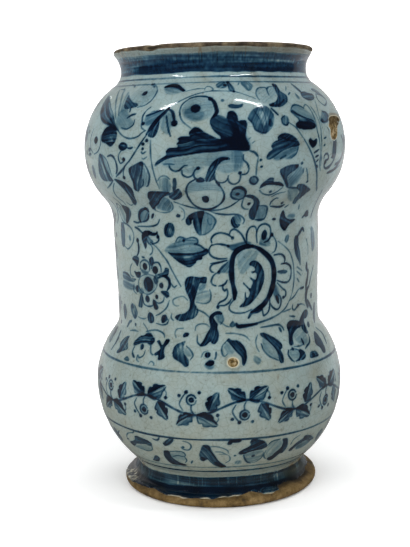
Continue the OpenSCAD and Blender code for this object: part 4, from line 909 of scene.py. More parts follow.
# The low border of leaves between the plain field and the lines above the foot
BORDER_MARKS: tuple[Mark, ...] = (
    wash(.5, -51.5, 46, -49, 47.5, -46, 49.5, -45, 52, -43, 53, -39, 52.4, -36, 51.4, -34.8, 50, -36, 47.8, -39, 48.4,
         -43, 47.5, -46, 46.5, -48, 44.6, -50.5, 44.2), dot(-49.6, 45.4, 1.5, .4),
    wash(.4, -45, 52, -43, 53, -38, 52.2, -36, 51, -40, 50.6, -44, 50.4),
    line(.9, .5, -52.5, 48, -51.5, 51, -49, 53.4, -45, 55, -44, 56.4), line(1, .6, -53, 47.6, -51, 48.6),
    line(.8, .4, -35, 49.6, -36, 45, -40, 43, -45, 43.4), wash(.12, -48, 44, -40, 47.6, -36, 47, -38, 43.6, -44, 43),
    wash(.7, -40, 34.6, -38.5, 36.5, -36.5, 39.4, -35, 40.4, -33.8, 39, -35, 35.6, -37, 34.4),
    line(1, .65, -33, 54, -31.5, 53.4, -30, 54, -29, 56),
    wash(.62, -27.8, 51.5, -27, 53, -24.5, 55.4, -22.5, 56.4, -22, 55, -24, 52, -27, 50.2), dot(-27, 51.4, 1, .4),
    wash(.92, -29, 45.4, -27.5, 46.4, -26, 46, -25.8, 42, -24, 39, -22, 37, -19, 35.6, -20, 34.6, -26, 34.5,
         -27.5, 35, -28.8, 37, -29.7, 41),
    line(.8, .55, -25.6, 46, -22, 47, -20, 47, -18.3, 46.4, -17.8, 44, -19.4, 43),
    line(.8, .55, -18.4, 43, -17.8, 40, -19, 37.6), line(.8, .5, -25, 42, -22, 43.4, -19.4, 43),
    wash(.1, -25, 45, -19, 46, -18.6, 40, -22, 38, -25, 41),
    line(.8, .5, -17.5, 55, -15, 54, -14, 51.5, -15.5, 48.8, -18, 49, -19, 50.6), dot(-18, 50.5, .8, .5),
    line(1, .5, -15.8, 37.5, -14.8, 40),
    wash(.68, -8.7, 52.4, -7, 53, -5.5, 52, -5, 49.5, -3.5, 45.5, -2, 41, 0, 37.5, 2, 35.2, 1.5, 34.4, -.5, 34.6,
         -3.5, 36.2, -5.5, 39, -7, 41.7, -8.3, 40.8, -9.8, 40.3, -10.5, 42, -10.8, 45, -9.8, 49),
    dot(-9.4, 42, 1.6, .4), wash(.35, -4, 39, -1, 39, 2, 35.2, -1, 34.6),
    wash(.2, -8.6, 52, -6, 52.6, -5, 49, -8, 49), line(.7, .4, -5, 52, -1, 51.4, 2.5, 49, 3.2, 46.4),
    line(.7, .35, 2, 38.5, 4, 41, 3.5, 44.5, 1.5, 46, -1, 46), line(.7, .3, -3, 48, 0, 47.6, 2.4, 45.4),
    wash(.92, 2.7, 53.2, 3.2, 55.4, 5, 56.2, 8.5, 56, 8.3, 54.5, 5, 54.3, 4.3, 53.2),
    wash(.8, 8, 46.2, 9.5, 48.5, 12.5, 50.5, 13.5, 52.5, 13, 53.5, 13.8, 55.6, 16, 55.4, 18, 54.5, 20, 53, 21.5, 50.5,
         21.5, 49, 19, 47.6, 16, 47.4, 13, 46.5, 10.5, 45.2), dot(9.2, 46.4, 1.3, .4),
    wash(-.2, 13, 49.4, 18, 50, 18, 48.6, 14, 48), line(.9, .6, 10.5, 44.6, 11.5, 41, 13, 38, 15, 36.6),
    dot(15.5, 43, .9, .6), wash(.14, 11, 45, 20, 46.6, 20, 40, 15, 37.4, 12, 40),
    line(.7, .35, 15, 36.6, 18, 37.4, 20.4, 40.6, 20.6, 45),
    wash(.22, 6.8, 38.5, 8, 40, 9.7, 39.4, 9.5, 37, 7.5, 36.6), dot(6.3, 44.5, .6, .5),
    line(.9, .6, 22, 50, 24, 52.4, 28, 53), line(.9, .55, 21.6, 46.4, 21.3, 42, 23, 38.6),
    wash(.13, 22.6, 50, 28, 52.4, 29.6, 48, 25.6, 41, 22.6, 41),
    wash(.72, 29.5, 52.7, 32, 52.4, 33, 49.5, 33.7, 45.5, 32.5, 41.6, 30.5, 41.3, 29, 39, 26.5, 36.6, 24.5, 37.5,
         24, 39.4, 26, 40.5, 27.5, 43, 30, 46.5, 30.3, 50), dot(31, 42.6, 1.3, .35), dot(26, 38.6, 1.4, .4),
    wash(.58, 36, 42.5, 37.5, 44.5, 40, 47.4, 43.5, 49, 45, 50.4, 48, 49.4, 52, 47, 54, 44.6, 50, 45, 46, 46.4,
         42, 45, 39, 42.6, 37.5, 41.2), dot(37.6, 42.6, 1.4, .5), dot(44.6, 49.4, 1.2, .4),
    wash(.2, 41, 44, 47, 46, 52, 44.6, 48, 41, 42, 41), line(.9, .5, 35.6, 47, 36.6, 50.4, 40, 52.6),
    wash(.5, 57, 47, 60, 49.4, 63, 47, 62, 42, 59, 41), line(1, .5, -58, 52, -62, 48, -62, 43),
    wash(.5, -66, 50, -63, 52, -60, 46, -64, 42), line(1.2, .5, 66, 52, 69, 48, 68, 42),
)

# Pale breaks in the foot's band, where its glaze has cracked and flaked
FOOT_CRACKS: tuple[Mark, ...] = (
    line(.7, -.6, -30, 10.7, -26, 11.1, -21.5, 11.2), line(.55, -.25, -40, 13.4, -34, 14.2, -24, 15.2),
    line(.5, -.3, -25.4, 14, -25.2, 15.2), line(.6, -.22, -18.6, 15.2, -18.2, 18, -18.4, 21),
    line(.5, -.2, -18, 15.4, -14, 15), line(.5, -.3, 6, 11.2, 11, 11.5), line(.7, -.5, 16, 11.6, 20, 12, 23, 11.4),
    line(.8, -.7, 23.6, 9.4, 25, 11.6, 28, 12.5),
    wash(-.4, 25.6, 9.4, 26.4, 11.4, 29, 12.2, 33, 12, 36, 11.4, 35.4, 9.6, 31, 8.8),
    line(.9, -.7, 24, 8.8, 28, 8.2, 33, 8, 36, 8.8), line(.6, -.3, 37, 17, 39.4, 18.6, 40, 16.4),
    line(.6, -.4, 39.6, 13.6, 41, 13.4), line(.6, -.25, 26, 15.4, 30, 14.6, 36, 15.6),
)


class Foliage:
    """The painting that repeats: the lobed leaf, the scrolling stem up each flank and the running vine on the field."""

    @staticmethod
    def side() -> list[Mark]:
        """A scrolling stem up the flank, where the front painting runs out, with leaves and a berry at each turn.

        Returns:
            Its marks, and the leaves of the low border beside it.
        """
        s = np.linspace(102, 260, 60)
        marks: list[Mark] = [line(1, .6, *np.stack([93.5 + 6.5 * np.sin(np.pi * (s - 104) / 26), s], -1).ravel())]
        ring = np.linspace(0.4, 6.2, 9)
        for k in range(6):
            s, out = 117.0 + 26 * k, 1 - 2 * (k % 2)
            t = 93.5 + 6.5 * out
            marks += Foliage.leaf(t - 1.5 * out, s + 1, 90 + 62 * out, 17, .88, .26)
            marks += Foliage.leaf(t + .6 * out, s + 5, 90 - 38 * out, 13, .55, .84)
            marks += Foliage.leaf(t + .6 * out, s - 5, -90 + 44 * out, 12, .9, .2)
            berry = np.stack([93.5 - 11 * out + 2.4 * np.cos(ring), s + 3 + 3.2 * np.sin(ring)], -1)
            marks += [
                line(1, .7, *berry.ravel()), dot(93.5 - 11 * out, s + 3, 1.4, .95), dot(t + 8 * out, s, 1.1, .8),
                line(.8, .5, t - 4 * out, s - 6, t - 9 * out, s - 7, t - 12 * out, s - 4, t - 10 * out, s - 2),
                line(.7, .45, t + 4 * out, s + 12, t + 8 * out, s + 11, t + 8 * out, s + 7),
                dot(t + 10 * out, s + 12, .9, .7)]
        border = ((80, 41, 40, .9, .2), (91, 50, -40, .6, .3), (98, 41, 35, .85, .2), (109, 50, -50, .5, .7))
        for t, s, turn, dark, pale in border:
            marks += Foliage.leaf(t, s, turn, 11, dark, pale) + [dot(t + 5, s + (6 if s < 45 else -8), 1, .7)]
        return marks

    @staticmethod
    def leaf(theta: float, s: float, turn: float, length: float, dark: float, pale: float) -> list[Mark]:
        """A lobed leaf from its stalk's end: a dark half, a pale half with a drawn edge, and a midrib.

        Args:
            theta: where its stalk ends, in degrees round the jar.
            s: where its stalk ends along the outside.
            turn: its direction, in degrees from level.
            length: its length in mm.
            dark: tone of its dark half.
            pale: tone of its pale half.

        Returns:
            Its marks.
        """
        u = np.array([0, .1, .26, .4, .5, .66, .76, .9, 1.02])
        v = np.array([0, .16, .31, .24, .33, .27, .17, .12, .03])
        c, d, degree = math.cos(math.radians(turn)), math.sin(math.radians(turn)), math.pi / 180 * BULB_R

        def on_wall(a: np.ndarray, b: np.ndarray) -> list[float]:
            """Turns leaf places, in lengths along and across it, into (theta, s) pairs."""
            turned = theta + length * (a * c - b * d) / degree, s + length * (a * d + b * c)
            return np.stack(turned, -1).ravel().tolist()

        rib = np.array([.8, .55, .3]), np.array([.06, .05, .02])
        return [wash(dark, *on_wall(u, v), *on_wall(*rib)), wash(pale, *on_wall(u, -v), *on_wall(rib[0], -rib[1])),
                line(.8, .5, *on_wall(u, -v)), line(.7, .3, *on_wall(np.array([.1, .5, .95]), np.array([0, .03, 0])))]

    @staticmethod
    def field_vine() -> list[Mark]:
        """A running vine for the belly's field: a waving stem, leaves at each turn and a berry in each hollow.

        Returns:
            Its marks over half the way round.
        """
        t = np.linspace(-90, 90, 73)
        stem = np.stack([t, 75.6 - .02 * t + 4.2 * np.cos(np.pi * (t + 78.75) / 22.5)], -1)
        marks: list[Mark] = [line(1.3, .72, *stem.ravel())]
        ring = np.linspace(0.4, 6.2, 9)
        for k in range(8):
            t, up = -78.75 + 22.5 * k, 1 - 2 * (k % 2)
            s = 75.6 - .02 * t
            marks += Foliage.leaf(t + 1, s + 4 * up, 30 * up, 12.5, .92, .4)
            marks += Foliage.leaf(t - 1, s + 4 * up, 180 - 36 * up, 11.0, .55, .88)
            marks += Foliage.leaf(t + 6, s + 1.4 * up, -62 * up, 11.0, .88, .34)
            marks += [
                line(.9, .6, t - .5, s + 3.4 * up, t - 1.4, s + 1 * up, t - 1.2, s - 1.4 * up),
                line(1.1, .8, *np.stack([t - 1.2 + 2.1 * np.cos(ring), s - 4.2 * up + 2.8 * np.sin(ring)], -1).ravel()),
                dot(t - 1.2, s - 4.2 * up, 1.3, .95),
                wash(.2, t - 2.8, s - 4, t - 1.2, s - 2, t + .4, s - 4, t - 1.2, s - 6),
                line(.8, .6, t - 5, s + 1.8 * up, t - 6.4, s - 1.6 * up, t - 5.4, s - 5 * up, t - 3.6, s - 8.2 * up),
                dot(t - 3.5, s - 8.4 * up, .9, .85), dot(t - 6.6, s - 6.4 * up, .8, .8),
                dot(t + 2.2, s - 8.4 * up, .8, .8),
                line(.7, .5, t + 8.6, s + 9 * up, t + 10, s + 7 * up, t + 9.8, s + 4.6 * up),
                dot(t + 9.8, s + 4.2 * up, .8, .85)]
        return marks



@dataclass
class Brushwork:
    """The painting as cobalt density, and the dirt on it, on a grid of rows along s and columns round the jar."""

    thrown: Thrown
    columns: int = 960
    row_step: float = 0.45
    mean_r: float = 66.0
    edge_soft: float = 0.5
    full_tone: float = 0.82
    full_gain: float = 1.3
    pool_mm: float = 0.6
    hair: float = 0.33
    taper: float = 0.45
    fine_width: float = 1.6
    strength: float = 1.08
    bleed: float = 0.16
    bleed_mm: float = 1.2
    bleed_from: float = 0.07
    density: np.ndarray = field(init=False, repr=False)
    grime: np.ndarray = field(init=False, repr=False)
    laid: int = 0

    def __post_init__(self) -> None:
        """Sets up the empty grids and the brush noises."""
        self.theta = -180.0 + 360.0 * np.arange(self.columns) / self.columns
        self.s = np.arange(int(self.thrown.outline.length / self.row_step) + 1) * self.row_step
        self.radius = self.thrown.outline.at(self.s)[0]
        self.density = np.zeros((len(self.s), self.columns))
        self.grime = np.zeros_like(self.density)
        self.blotch = self.noise(2.2, 2.2, 1)
        self.fine = self.noise(0.5, 0.6, 2)
        self.streak = self.noise(9.0, 0.34, 3)
        self.long = self.noise(22.0, 2.2, 4)
        self.crack = self.noise(0.3, 7.0, 7)

    def noise(self, round_mm: float, along_mm: float, seed: int) -> np.ndarray:
        """Seeded white noise blurred by a Gaussian in each direction, scaled to a spread of 1.

        Args:
            round_mm: blur round the jar.
            along_mm: blur along s.
            seed: the seed.

        Returns:
            A grid that wraps round.
        """
        out = self.blur(np.random.default_rng(seed).standard_normal(self.density.shape), round_mm, along_mm)
        return out / out.std()

    def blur(self, grid: np.ndarray, round_mm: float, along_mm: float) -> np.ndarray:
        """A grid blurred by a Gaussian in each direction, by damping its waves the more the shorter they are.

        Args:
            grid: rows along s, columns round the jar.
            round_mm: blur round the jar.
            along_mm: blur along s.

        Returns:
            A grid that wraps round.
        """
        fy = np.fft.fftfreq(len(self.s), self.row_step)[:, None]
        fx = np.fft.fftfreq(self.columns, 2 * math.pi * self.mean_r / self.columns)[None, :]
        keep = np.exp(-2 * math.pi ** 2 * ((fx * round_mm) ** 2 + (fy * along_mm) ** 2))
        return np.fft.ifft2(np.fft.fft2(grid) * keep).real

    def read(self, grid: np.ndarray, theta: np.ndarray, s: np.ndarray) -> np.ndarray:
        """Reads a grid between its rows and columns, weighting the four nearest places by closeness.

        Args:
            grid: the cobalt or the dirt.
            theta: degrees round the jar.
            s: lengths along the outside.

        Returns:
            A value for each place.
        """
        theta, s = np.broadcast_arrays(theta, s)
        col = (theta + 180.0) % 360.0 / 360.0 * self.columns
        row = np.clip(s / self.row_step, 0, len(self.s) - 1.001)
        i, j = row.astype(int), col.astype(int) % self.columns
        a, b, n = row - i, col - np.floor(col), (j + 1) % self.columns
        return (grid[i, j] * (1 - b) + grid[i, n] * b) * (1 - a) + (grid[i + 1, j] * (1 - b) + grid[i + 1, n] * b) * a

    def lay(self, mark: Mark) -> None:
        """Lays one mark: adds its tone, times its cover, to the cobalt on the grid.

        The cover of a wash follows the signed distance to its outline, with pigment pooled along the edge and brush
        hairs running along its length. The cover of a stroke follows the distance to its path, with a width that
        falls towards its ends and a load of pigment that varies along it.

        Args:
            mark: a wash or a stroke.
        """
        self.laid += 1
        # The fullest brush leaves the pigment thick enough to go black
        tone = mark.tone + self.full_gain * max(mark.tone - self.full_tone, 0.0)
        rng = np.random.default_rng(self.laid)
        path = np.array(mark.path, float).reshape(-1, 2)
        closed = isinstance(mark, Wash)
        mid = path.mean(0)
        scale = math.pi / 180.0 * float(np.interp(mid[1], self.s, self.radius))
        curve = smooth_path((path - mid) * (scale, 1.0), closed)
        pad = 1.2 if closed else mark.width / 2 + 1.0
        (x0, y0), (x1, y1) = curve.min(0) - pad, curve.max(0) + pad
        step = 360.0 / self.columns
        cols = np.arange(math.floor((mid[0] + x0 / scale + 180) / step),
                         math.ceil((mid[0] + x1 / scale + 180) / step) + 1)
        rows = np.arange(max(0, math.floor((mid[1] + y0) / self.row_step)),
                         min(len(self.s) - 1, math.ceil((mid[1] + y1) / self.row_step)) + 1)
        px = ((cols * step - 180 - mid[0]) * scale)[None, :, None]
        py = (self.s[rows] - mid[1])[:, None, None]
        a = curve if closed else curve[:-1]
        b = np.roll(curve, -1, 0) if closed else curve[1:]
        ab = b - a
        along = ((px - a[:, 0]) * ab[:, 0] + (py - a[:, 1]) * ab[:, 1]) / np.maximum((ab ** 2).sum(1), 1e-9)
        along = np.clip(along, 0, 1)
        gap = np.hypot(px - a[:, 0] - along * ab[:, 0], py - a[:, 1] - along * ab[:, 1])
        near = gap.argmin(-1)
        gap = gap.min(-1)
        window = np.ix_(rows, cols % self.columns)
        grain = 1.0 + 0.10 * self.blotch[window] + 0.06 * self.fine[window]
        if closed:
            run = np.where(np.abs(ab[:, 1]) < 1e-9, 1e-9, ab[:, 1])
            crossed = ((a[:, 1] > py) != (b[:, 1] > py)) & (px < ab[:, 0] * (py - a[:, 1]) / run + a[:, 0])
            depth = np.where(crossed.sum(-1) % 2 == 1, gap, -gap)
            # A pale wash is wetter, so its edge is softer and pools less
            wet = float(ease(np.array((0.45 - tone) / 0.25)))
            cover = ease(0.5 + depth / (self.edge_soft * (1 + 2.2 * wet)))
            cover = cover * (0.76 + 0.2 * wet + 0.42 * (1 - 0.8 * wet) * np.exp(-np.maximum(depth, 0) / self.pool_mm))
            axis = np.linalg.svd(curve, full_matrices=False)[2][0]
            u, v = px[..., 0] * axis[0] + py[..., 0] * axis[1], py[..., 0] * axis[0] - px[..., 0] * axis[1]
            broad = max(1.0, float(np.abs(curve @ np.array([-axis[1], axis[0]])).max()))
            hairs = np.interp(v + 0.45 * np.sin(u / 2.7 + self.laid), np.arange(-40, 40, 0.5), rng.standard_normal(160))
            far = max(1.0, float(np.abs(curve @ axis).max()))
            grain = (grain + self.hair * hairs * min(1.0, broad / 1.6) + rng.choice((-0.16, 0.16)) * v / broad
                     + rng.uniform(-0.2, 0.2) * u / far)
        else:
            share = (near + np.take_along_axis(along, near[..., None], -1)[..., 0]) / len(a)
            total = float(np.hypot(*ab.T).sum())
            knots = np.arange(0, total + 6, 2.5)
            load = np.interp(share * total, knots, rng.standard_normal(len(knots)))
            fine = 0.88 if mark.width < self.fine_width else 1.0
            ends = 1 - self.taper * np.abs(2 * share - 1) ** 2.5
            width = fine * mark.width * ends * (1 + 0.1 * np.roll(load, 3))
            cover = ease(0.5 + (width / 2 - gap) / self.edge_soft)
            grain = (grain + 0.16 * load) * (0.86 if mark.width < self.fine_width else 1.0)
            if mark.width > 2:
                beside = (px[..., 0] - a[near, 0]) * ab[near, 1] - (py[..., 0] - a[near, 1]) * ab[near, 0]
                grain = grain - 0.2 * np.sign(beside) * np.clip(gap / (mark.width / 2), 0, 1)
        self.density[window] = np.maximum(self.density[window] + tone * cover * np.maximum(grain, 0.3), 0)

    def ring(self, s_mid: np.ndarray, width: np.ndarray, tone: np.ndarray) -> None:
        """Lays a ring round the jar: its cover follows the distance along s to a middle line.

        Args:
            s_mid: the middle line for each column.
            width: its width for each column.
            tone: cobalt for each place.
        """
        gap = np.abs(self.s[:, None] - s_mid[None, :])
        self.density += np.maximum(tone, 0) * ease(0.5 + (width[None, :] / 2 - gap) / self.edge_soft)

    def bands(self) -> None:
        """Lays the thin lines, then the broad bands of the neck and foot, each from streaky overlapping passes."""
        t = np.radians(self.theta)
        rag, slow = self.noise(3.0, 30.0, 5)[10], self.noise(20.0, 30.0, 6)[40]
        one, dip = np.ones(self.columns), np.sin(t) ** 2
        uneven = 1 + 0.26 * self.long + 0.12 * self.fine
        # Each thin line's middle, width and tone, from the shoulder down
        thin = ((268.2, 0.95, 0.46), (263.7, 1.0, 0.36), (95.1 - 1.2 * np.sin(t), 1.0, 0.5),
                (56.6 - 0.9 * np.sin(t), 1.05, 0.5), (34.4 - 3.6 * dip, 1.0, 0.3), (29.7 - 4.2 * dip, 1.5, 0.66))
        for s_mid, width, tone in thin:
            self.ring(s_mid * one + 0.25 * slow, width * (one + 0.12 * rag), tone * uneven)
        # The neck's second pass is darker, low on the band, and starts and stops at two brush marks
        pass_two = ease((self.theta + 51) / 3) * ease((60 - self.theta) / 3)
        pass_two = np.maximum(pass_two, np.roll(pass_two, self.columns // 2))
        low = ease((276.8 - self.s) / 1.8)[:, None]
        fade = ease((284.0 - self.s) / 5.0)[:, None]
        neck = (0.51 + 0.12 * self.streak + 0.08 * self.long + 0.07 * self.fine + pass_two * (0.06 + 0.26 * low)) * fade
        neck = neck + 0.3 * np.exp(-((self.theta - 58) / 1.8) ** 2)[None, :] * (1 - 0.5 * low) * fade
        neck = neck + 0.14 * ease((self.crack - 1.2) / 0.6) * ease((self.s - 273) / 5)[:, None]
        self.ring(276.6 + 0.2 * slow, 10.6 * (one + 0.03 * rag), neck)
        # The foot's band has a darker lower pass, and both dip a little towards the sides
        top = 21.7 - 3.0 * dip + 0.12 * slow
        below = top - self.s[:, None]
        foot = (0.66 + 0.56 * ease((below - 5.6) / 1.2) - 0.16 * ease((below - 9.8) / 0.8)
                + 0.14 * self.streak * ease((8 - below) / 2) + 0.06 * self.long + 0.05 * self.blotch
                - 0.26 * ease((self.crack - 0.9) / 0.5) * ease((6.5 - below) / 2))
        self.ring(top / 2, top * (one + 0.006 * rag), foot)

    def soil(self) -> None:
        """Lays the dirt: grey under the lip with upright cracks, smears and rust in places, and specks."""
        s, th = self.s[:, None], self.theta[None, :]
        self.grime += (0.46 + 0.14 * self.long) * ease((s - 279.8) / 3)
        self.grime += 0.6 * ease((self.crack - 1.1) / 0.6) * ease((s - 275) / 5)
        self.grime += (0.28 + 0.1 * self.long + 0.1 * self.blotch) * ease((22.5 - s) / 3)
        # Each smear's place, half its width in degrees, half its height in mm and its strength
        smears = ((22, 266, 2.3, 8, 0.5), (36.5, 225.4, 1.2, 2.4, 0.6), (60, 230, 5, 7, 0.32), (65, 240, 6, 5, 0.25),
                  (5.8, 100.5, 3.4, 4, 0.2), (-66, 12, 14, 5, 0.4), (62, 15, 22, 7, 1.0), (152, 262, 3, 9, 0.4),
                  (-120, 70, 4, 6, 0.2))
        for t, at, wide, tall, much in smears:
            away = ((th - t + 180) % 360 - 180) / wide
            self.grime += much * np.exp(-away ** 2 - ((s - at) / tall) ** 2) * (1 + 0.35 * self.blotch)
        self.grime += 0.55 * ease((self.noise(0.42, 0.42, 8) - 2.75) / 0.5) + 0.05 * np.maximum(self.blotch, 0)
        self.grime = np.clip(self.grime, 0, 1)

    def flakes(self, theta: np.ndarray, s: np.ndarray) -> np.ndarray:
        """Where glaze has flaked from the foot: a pale rim on stretches of its edge and a rough patch at one side.

        Args:
            theta: degrees round the jar.
            s: lengths along the outside.

        Returns:
            0 for whole glaze to 0.95 for bare clay.
        """
        t = (theta + 180.0) % 360.0 - 180.0
        stretches = ((-40, -18), (-14, 12), (23, 37), (128, 150), (-176, -160))
        where = sum(ease((t - a) / 3) * ease((z - t) / 3) for a, z in stretches)
        wide = 0.45 + 0.3 * self.read(self.blotch, t, 40.0 + 0 * t)
        rim = 0.9 * where * ease((self.thrown.edges(t)[0] + np.maximum(wide, 0.1) - s) / 0.5)
        rough = np.exp(-((t + 77) / 9) ** 2 - ((s - 8.5) / 3.4) ** 2) * (0.34 + 0.62 * self.read(self.fine, t, s))
        return np.clip(rim + rough, 0, 0.95)

    def paint(self) -> None:
        """Paints the jar: foliage in front, the same turned half round at the back, then the bands and lines."""
        for mark in (*SHOULDER_MARKS, *WAIST_TOP_MARKS, *WAIST_LOW_MARKS, *BORDER_MARKS, *Foliage.side(),
                     *Foliage.field_vine()):
            self.lay(mark)
        self.density += np.roll(self.density, self.columns // 2, axis=1)
        # In the fire the cobalt bleeds a little into the glaze round each stroke
        spread = np.maximum(self.blur(self.density, self.bleed_mm, self.bleed_mm) - self.bleed_from, 0)
        self.density = self.strength * self.density + self.bleed * spread
        self.bands()
        for mark in FOOT_CRACKS:
            self.lay(mark)
        self.soil()
        self.density = np.clip(self.density, 0, COBALT_MOST)


# Finishes


def add(tree: bpy.types.NodeTree, kind: str, links: dict[Any, Any] | None = None, stops: Iterable[Any] = (),
        **settings: Any) -> bpy.types.Node:
    """Adds a node with its settings, socket values and links.

    Args:
        tree: the node tree.
        kind: the node's type after ShaderNode.
        links: for each input's name or number, a socket to link or a value to set.
        stops: places and linear colours for a colour ramp.
        settings: the node's own settings.

    Returns:
        The node.
    """
    node = tree.nodes.new("ShaderNode" + kind)
    for key, value in settings.items():
        setattr(node, key, value)
    for key, value in (links or {}).items():
        if isinstance(value, bpy.types.NodeSocket):
            tree.links.new(value, node.inputs[key])
        else:
            node.inputs[key].default_value = value
    for k, (at, colour) in enumerate(stops):
        ramp = node.color_ramp.elements
        stop = ramp[k] if k < 2 else ramp.new(at)
        stop.position, stop.color = at, colour
    return node


def mix(tree: bpy.types.NodeTree, share: Any, first: Any, second: Any, blend: str = "MIX") -> bpy.types.NodeSocket:
    """Mixes two colours, each a socket or a value, by a share, and gives the new colour's socket."""
    return add(tree, "Mix", {0: share, 6: first, 7: second}, data_type="RGBA", blend_type=blend).outputs[2]


def new_material(name: str) -> tuple[bpy.types.Material, bpy.types.NodeTree, bpy.types.Node]:
    """An empty node material.

    Args:
        name: its name.

    Returns:
        The material, its node tree and its output node.
    """
    material = bpy.data.materials.new(name)
    material.use_nodes = True
    material.node_tree.nodes.clear()
    return material, material.node_tree, add(material.node_tree, "OutputMaterial")


def per_mm(size: float) -> float:
    """The texture scale, on coordinates in metres, that gives a pattern of a size in mm."""
    return 1.0 / (size * MM)


@dataclass(frozen=True)
class TinGlaze:
    """Tin-opacified lead glaze, dipped and fired with cobalt brushwork in it: a pale, faintly uneven gloss.

    It has a fine net of crazing and is cooler where it lies thick on the shoulder. The cobalt in it is a stain that
    takes out red first.
    """

    shoulder: str = "#8A9D9D"
    waist: str = "#8D9D9A"
    belly: str = "#8B9995"
    low: str = "#90998F"
    cobalt: str = "#03162A"
    dirt: str = "#B48E6C"
    clay_soot: str = "#8C8676"
    clay: str = "#6A5528"
    clay_dark: str = "#33270F"
    clay_pale: str = "#A8997A"
    halo: str = "#BDB59B"
    craze_mm: float = 5.0
    speck_mm: float = 1.5
    mottle_mm: float = 20.0
    grit_mm: float = 2.4
    wave_mm: float = 11.0
    ior: float = 1.5
    roughness: float = 0.05
    dirt_dulls: float = 0.32
    clay_dulls: float = 0.6

    def make(self, name: str) -> bpy.types.Material:
        """Builds the material: the ground is multiplied by the stain's transmission, which falls as a power of density.

        Args:
            name: the material's name.

        Returns:
            The material; it reads the attributes cobalt, grime and bare.
        """
        material, tree, out = new_material(name)
        place = add(tree, "TexCoord").outputs["Object"]
        height = add(tree, "SeparateXYZ", {"Vector": place})
        coat = add(tree, "ValToRGB", {"Fac": height.outputs["Z"]},
                   [(0.03, rgba(self.low)), (0.225, rgba(self.shoulder)), (0.07, rgba(self.belly)),
                    (0.15, rgba(self.waist))])
        mottle = add(tree, "TexNoise", {"Vector": place, "Scale": per_mm(self.mottle_mm), "Detail": 5.0,
                                        "Roughness": 0.66})
        drift = add(tree, "ValToRGB", {"Fac": mottle.outputs["Fac"]},
                    [(0.32, (0.96, 0.91, 0.85, 1)), (0.66, (1.0, 1.06, 1.1, 1)), (0.48, (0.98, 0.98, 0.98, 1))])
        ground = mix(tree, 1.0, coat.outputs["Color"], drift.outputs["Color"], "MULTIPLY")
        # Specks of iron and ash caught in the glaze
        speck = add(tree, "TexNoise", {"Vector": place, "Scale": per_mm(self.speck_mm), "Detail": 3.0})
        speckle = add(tree, "ValToRGB", {"Fac": speck.outputs["Fac"]},
                      [(0.25, (0.55, 0.52, 0.48, 1)), (0.66, (1.08, 1.08, 1.08, 1)), (0.36, (0.95, 0.95, 0.95, 1))])
        # Crazing is finer than a pixel, so it is drawn about 0.1 mm wide and faint
        craze = add(tree, "TexVoronoi", {"Vector": place, "Scale": per_mm(self.craze_mm), "Randomness": 1.0},
                    feature="DISTANCE_TO_EDGE")
        crack = add(tree, "ValToRGB", {"Fac": craze.outputs["Distance"]},
                    [(0.008, (0.8, 0.79, 0.77, 1)), (0.032, (1, 1, 1, 1))])
        tinted = mix(tree, 1.0, ground, speckle.outputs["Color"], "MULTIPLY")
        crazed = mix(tree, 1.0, tinted, crack.outputs["Color"], "MULTIPLY")
        cobalt = add(tree, "Attribute", attribute_name="cobalt")
        full = to_linear(self.cobalt) / to_linear(self.waist)
        share = add(tree, "MapRange", {"Value": cobalt.outputs["Fac"], "From Max": COBALT_MOST})
        steps = (0.0, 1.0, 0.06, 0.12, 0.2, 0.3, 0.42, 0.56, 0.76)
        stain = add(tree, "ValToRGB", {"Fac": share.outputs["Result"]},
                    [(d, (*full ** (d * COBALT_MOST), 1.0)) for d in steps])
        painted = mix(tree, 1.0, crazed, stain.outputs["Color"], "MULTIPLY")
        grime = add(tree, "Attribute", attribute_name="grime")
        soiled = mix(tree, grime.outputs["Fac"], painted, rgba(self.dirt), "MULTIPLY")
        # Bare clay in the chips, with a pale halo where the glaze has flaked thin round them
        bare = add(tree, "Attribute", attribute_name="bare")
        grit = add(tree, "TexNoise", {"Vector": place, "Scale": per_mm(self.grit_mm), "Detail": 4.0, "Roughness": 0.75})
        body = add(tree, "ValToRGB", {"Fac": grit.outputs["Fac"]},
                   [(0.38, rgba(self.clay_dark)), (0.64, rgba(self.clay_pale)), (0.5, rgba(self.clay))])
        aged = mix(tree, grime.outputs["Fac"], body.outputs["Color"], rgba(self.clay_soot), "MULTIPLY")
        rim = add(tree, "ValToRGB", {"Fac": bare.outputs["Fac"]},
                  [(0.0, (0, 0, 0, 1)), (0.45, (1, 1, 1, 1))])
        pale = mix(tree, rim.outputs["Color"], soiled, rgba(self.halo))
        core = add(tree, "ValToRGB", {"Fac": bare.outputs["Fac"]}, [(0.5, (0, 0, 0, 1)), (0.8, (1, 1, 1, 1))])
        colour = mix(tree, core.outputs["Color"], pale, aged)
        gloss = add(tree, "MapRange", {"Value": mottle.outputs["Fac"], "From Min": 0.3, "From Max": 0.7,
                                       "To Min": self.roughness, "To Max": self.roughness + 0.06})
        dusty = add(tree, "Math", {0: grime.outputs["Fac"], 1: self.dirt_dulls, 2: gloss.outputs["Result"]},
                    operation="MULTIPLY_ADD")
        dull = add(tree, "Math", {0: core.outputs["Color"], 1: self.clay_dulls, 2: dusty.outputs["Value"]},
                   operation="MULTIPLY_ADD", use_clamp=True)
        wave = add(tree, "TexNoise", {"Vector": place, "Scale": per_mm(self.wave_mm), "Detail": 3.0, "Roughness": 0.55})
        swell = add(tree, "Bump", {"Height": wave.outputs["Fac"], "Strength": 0.16, "Distance": 0.0004})
        cut = add(tree, "Bump", {"Height": crack.outputs["Color"], "Strength": 0.25, "Distance": 0.00008,
                                 "Normal": swell.outputs["Normal"]})
        shader = add(tree, "BsdfPrincipled", {"Base Color": colour, "Roughness": dull.outputs["Value"],
                                              "IOR": self.ior, "Normal": cut.outputs["Normal"]})
        tree.links.new(shader.outputs["BSDF"], out.inputs["Surface"])
        return material


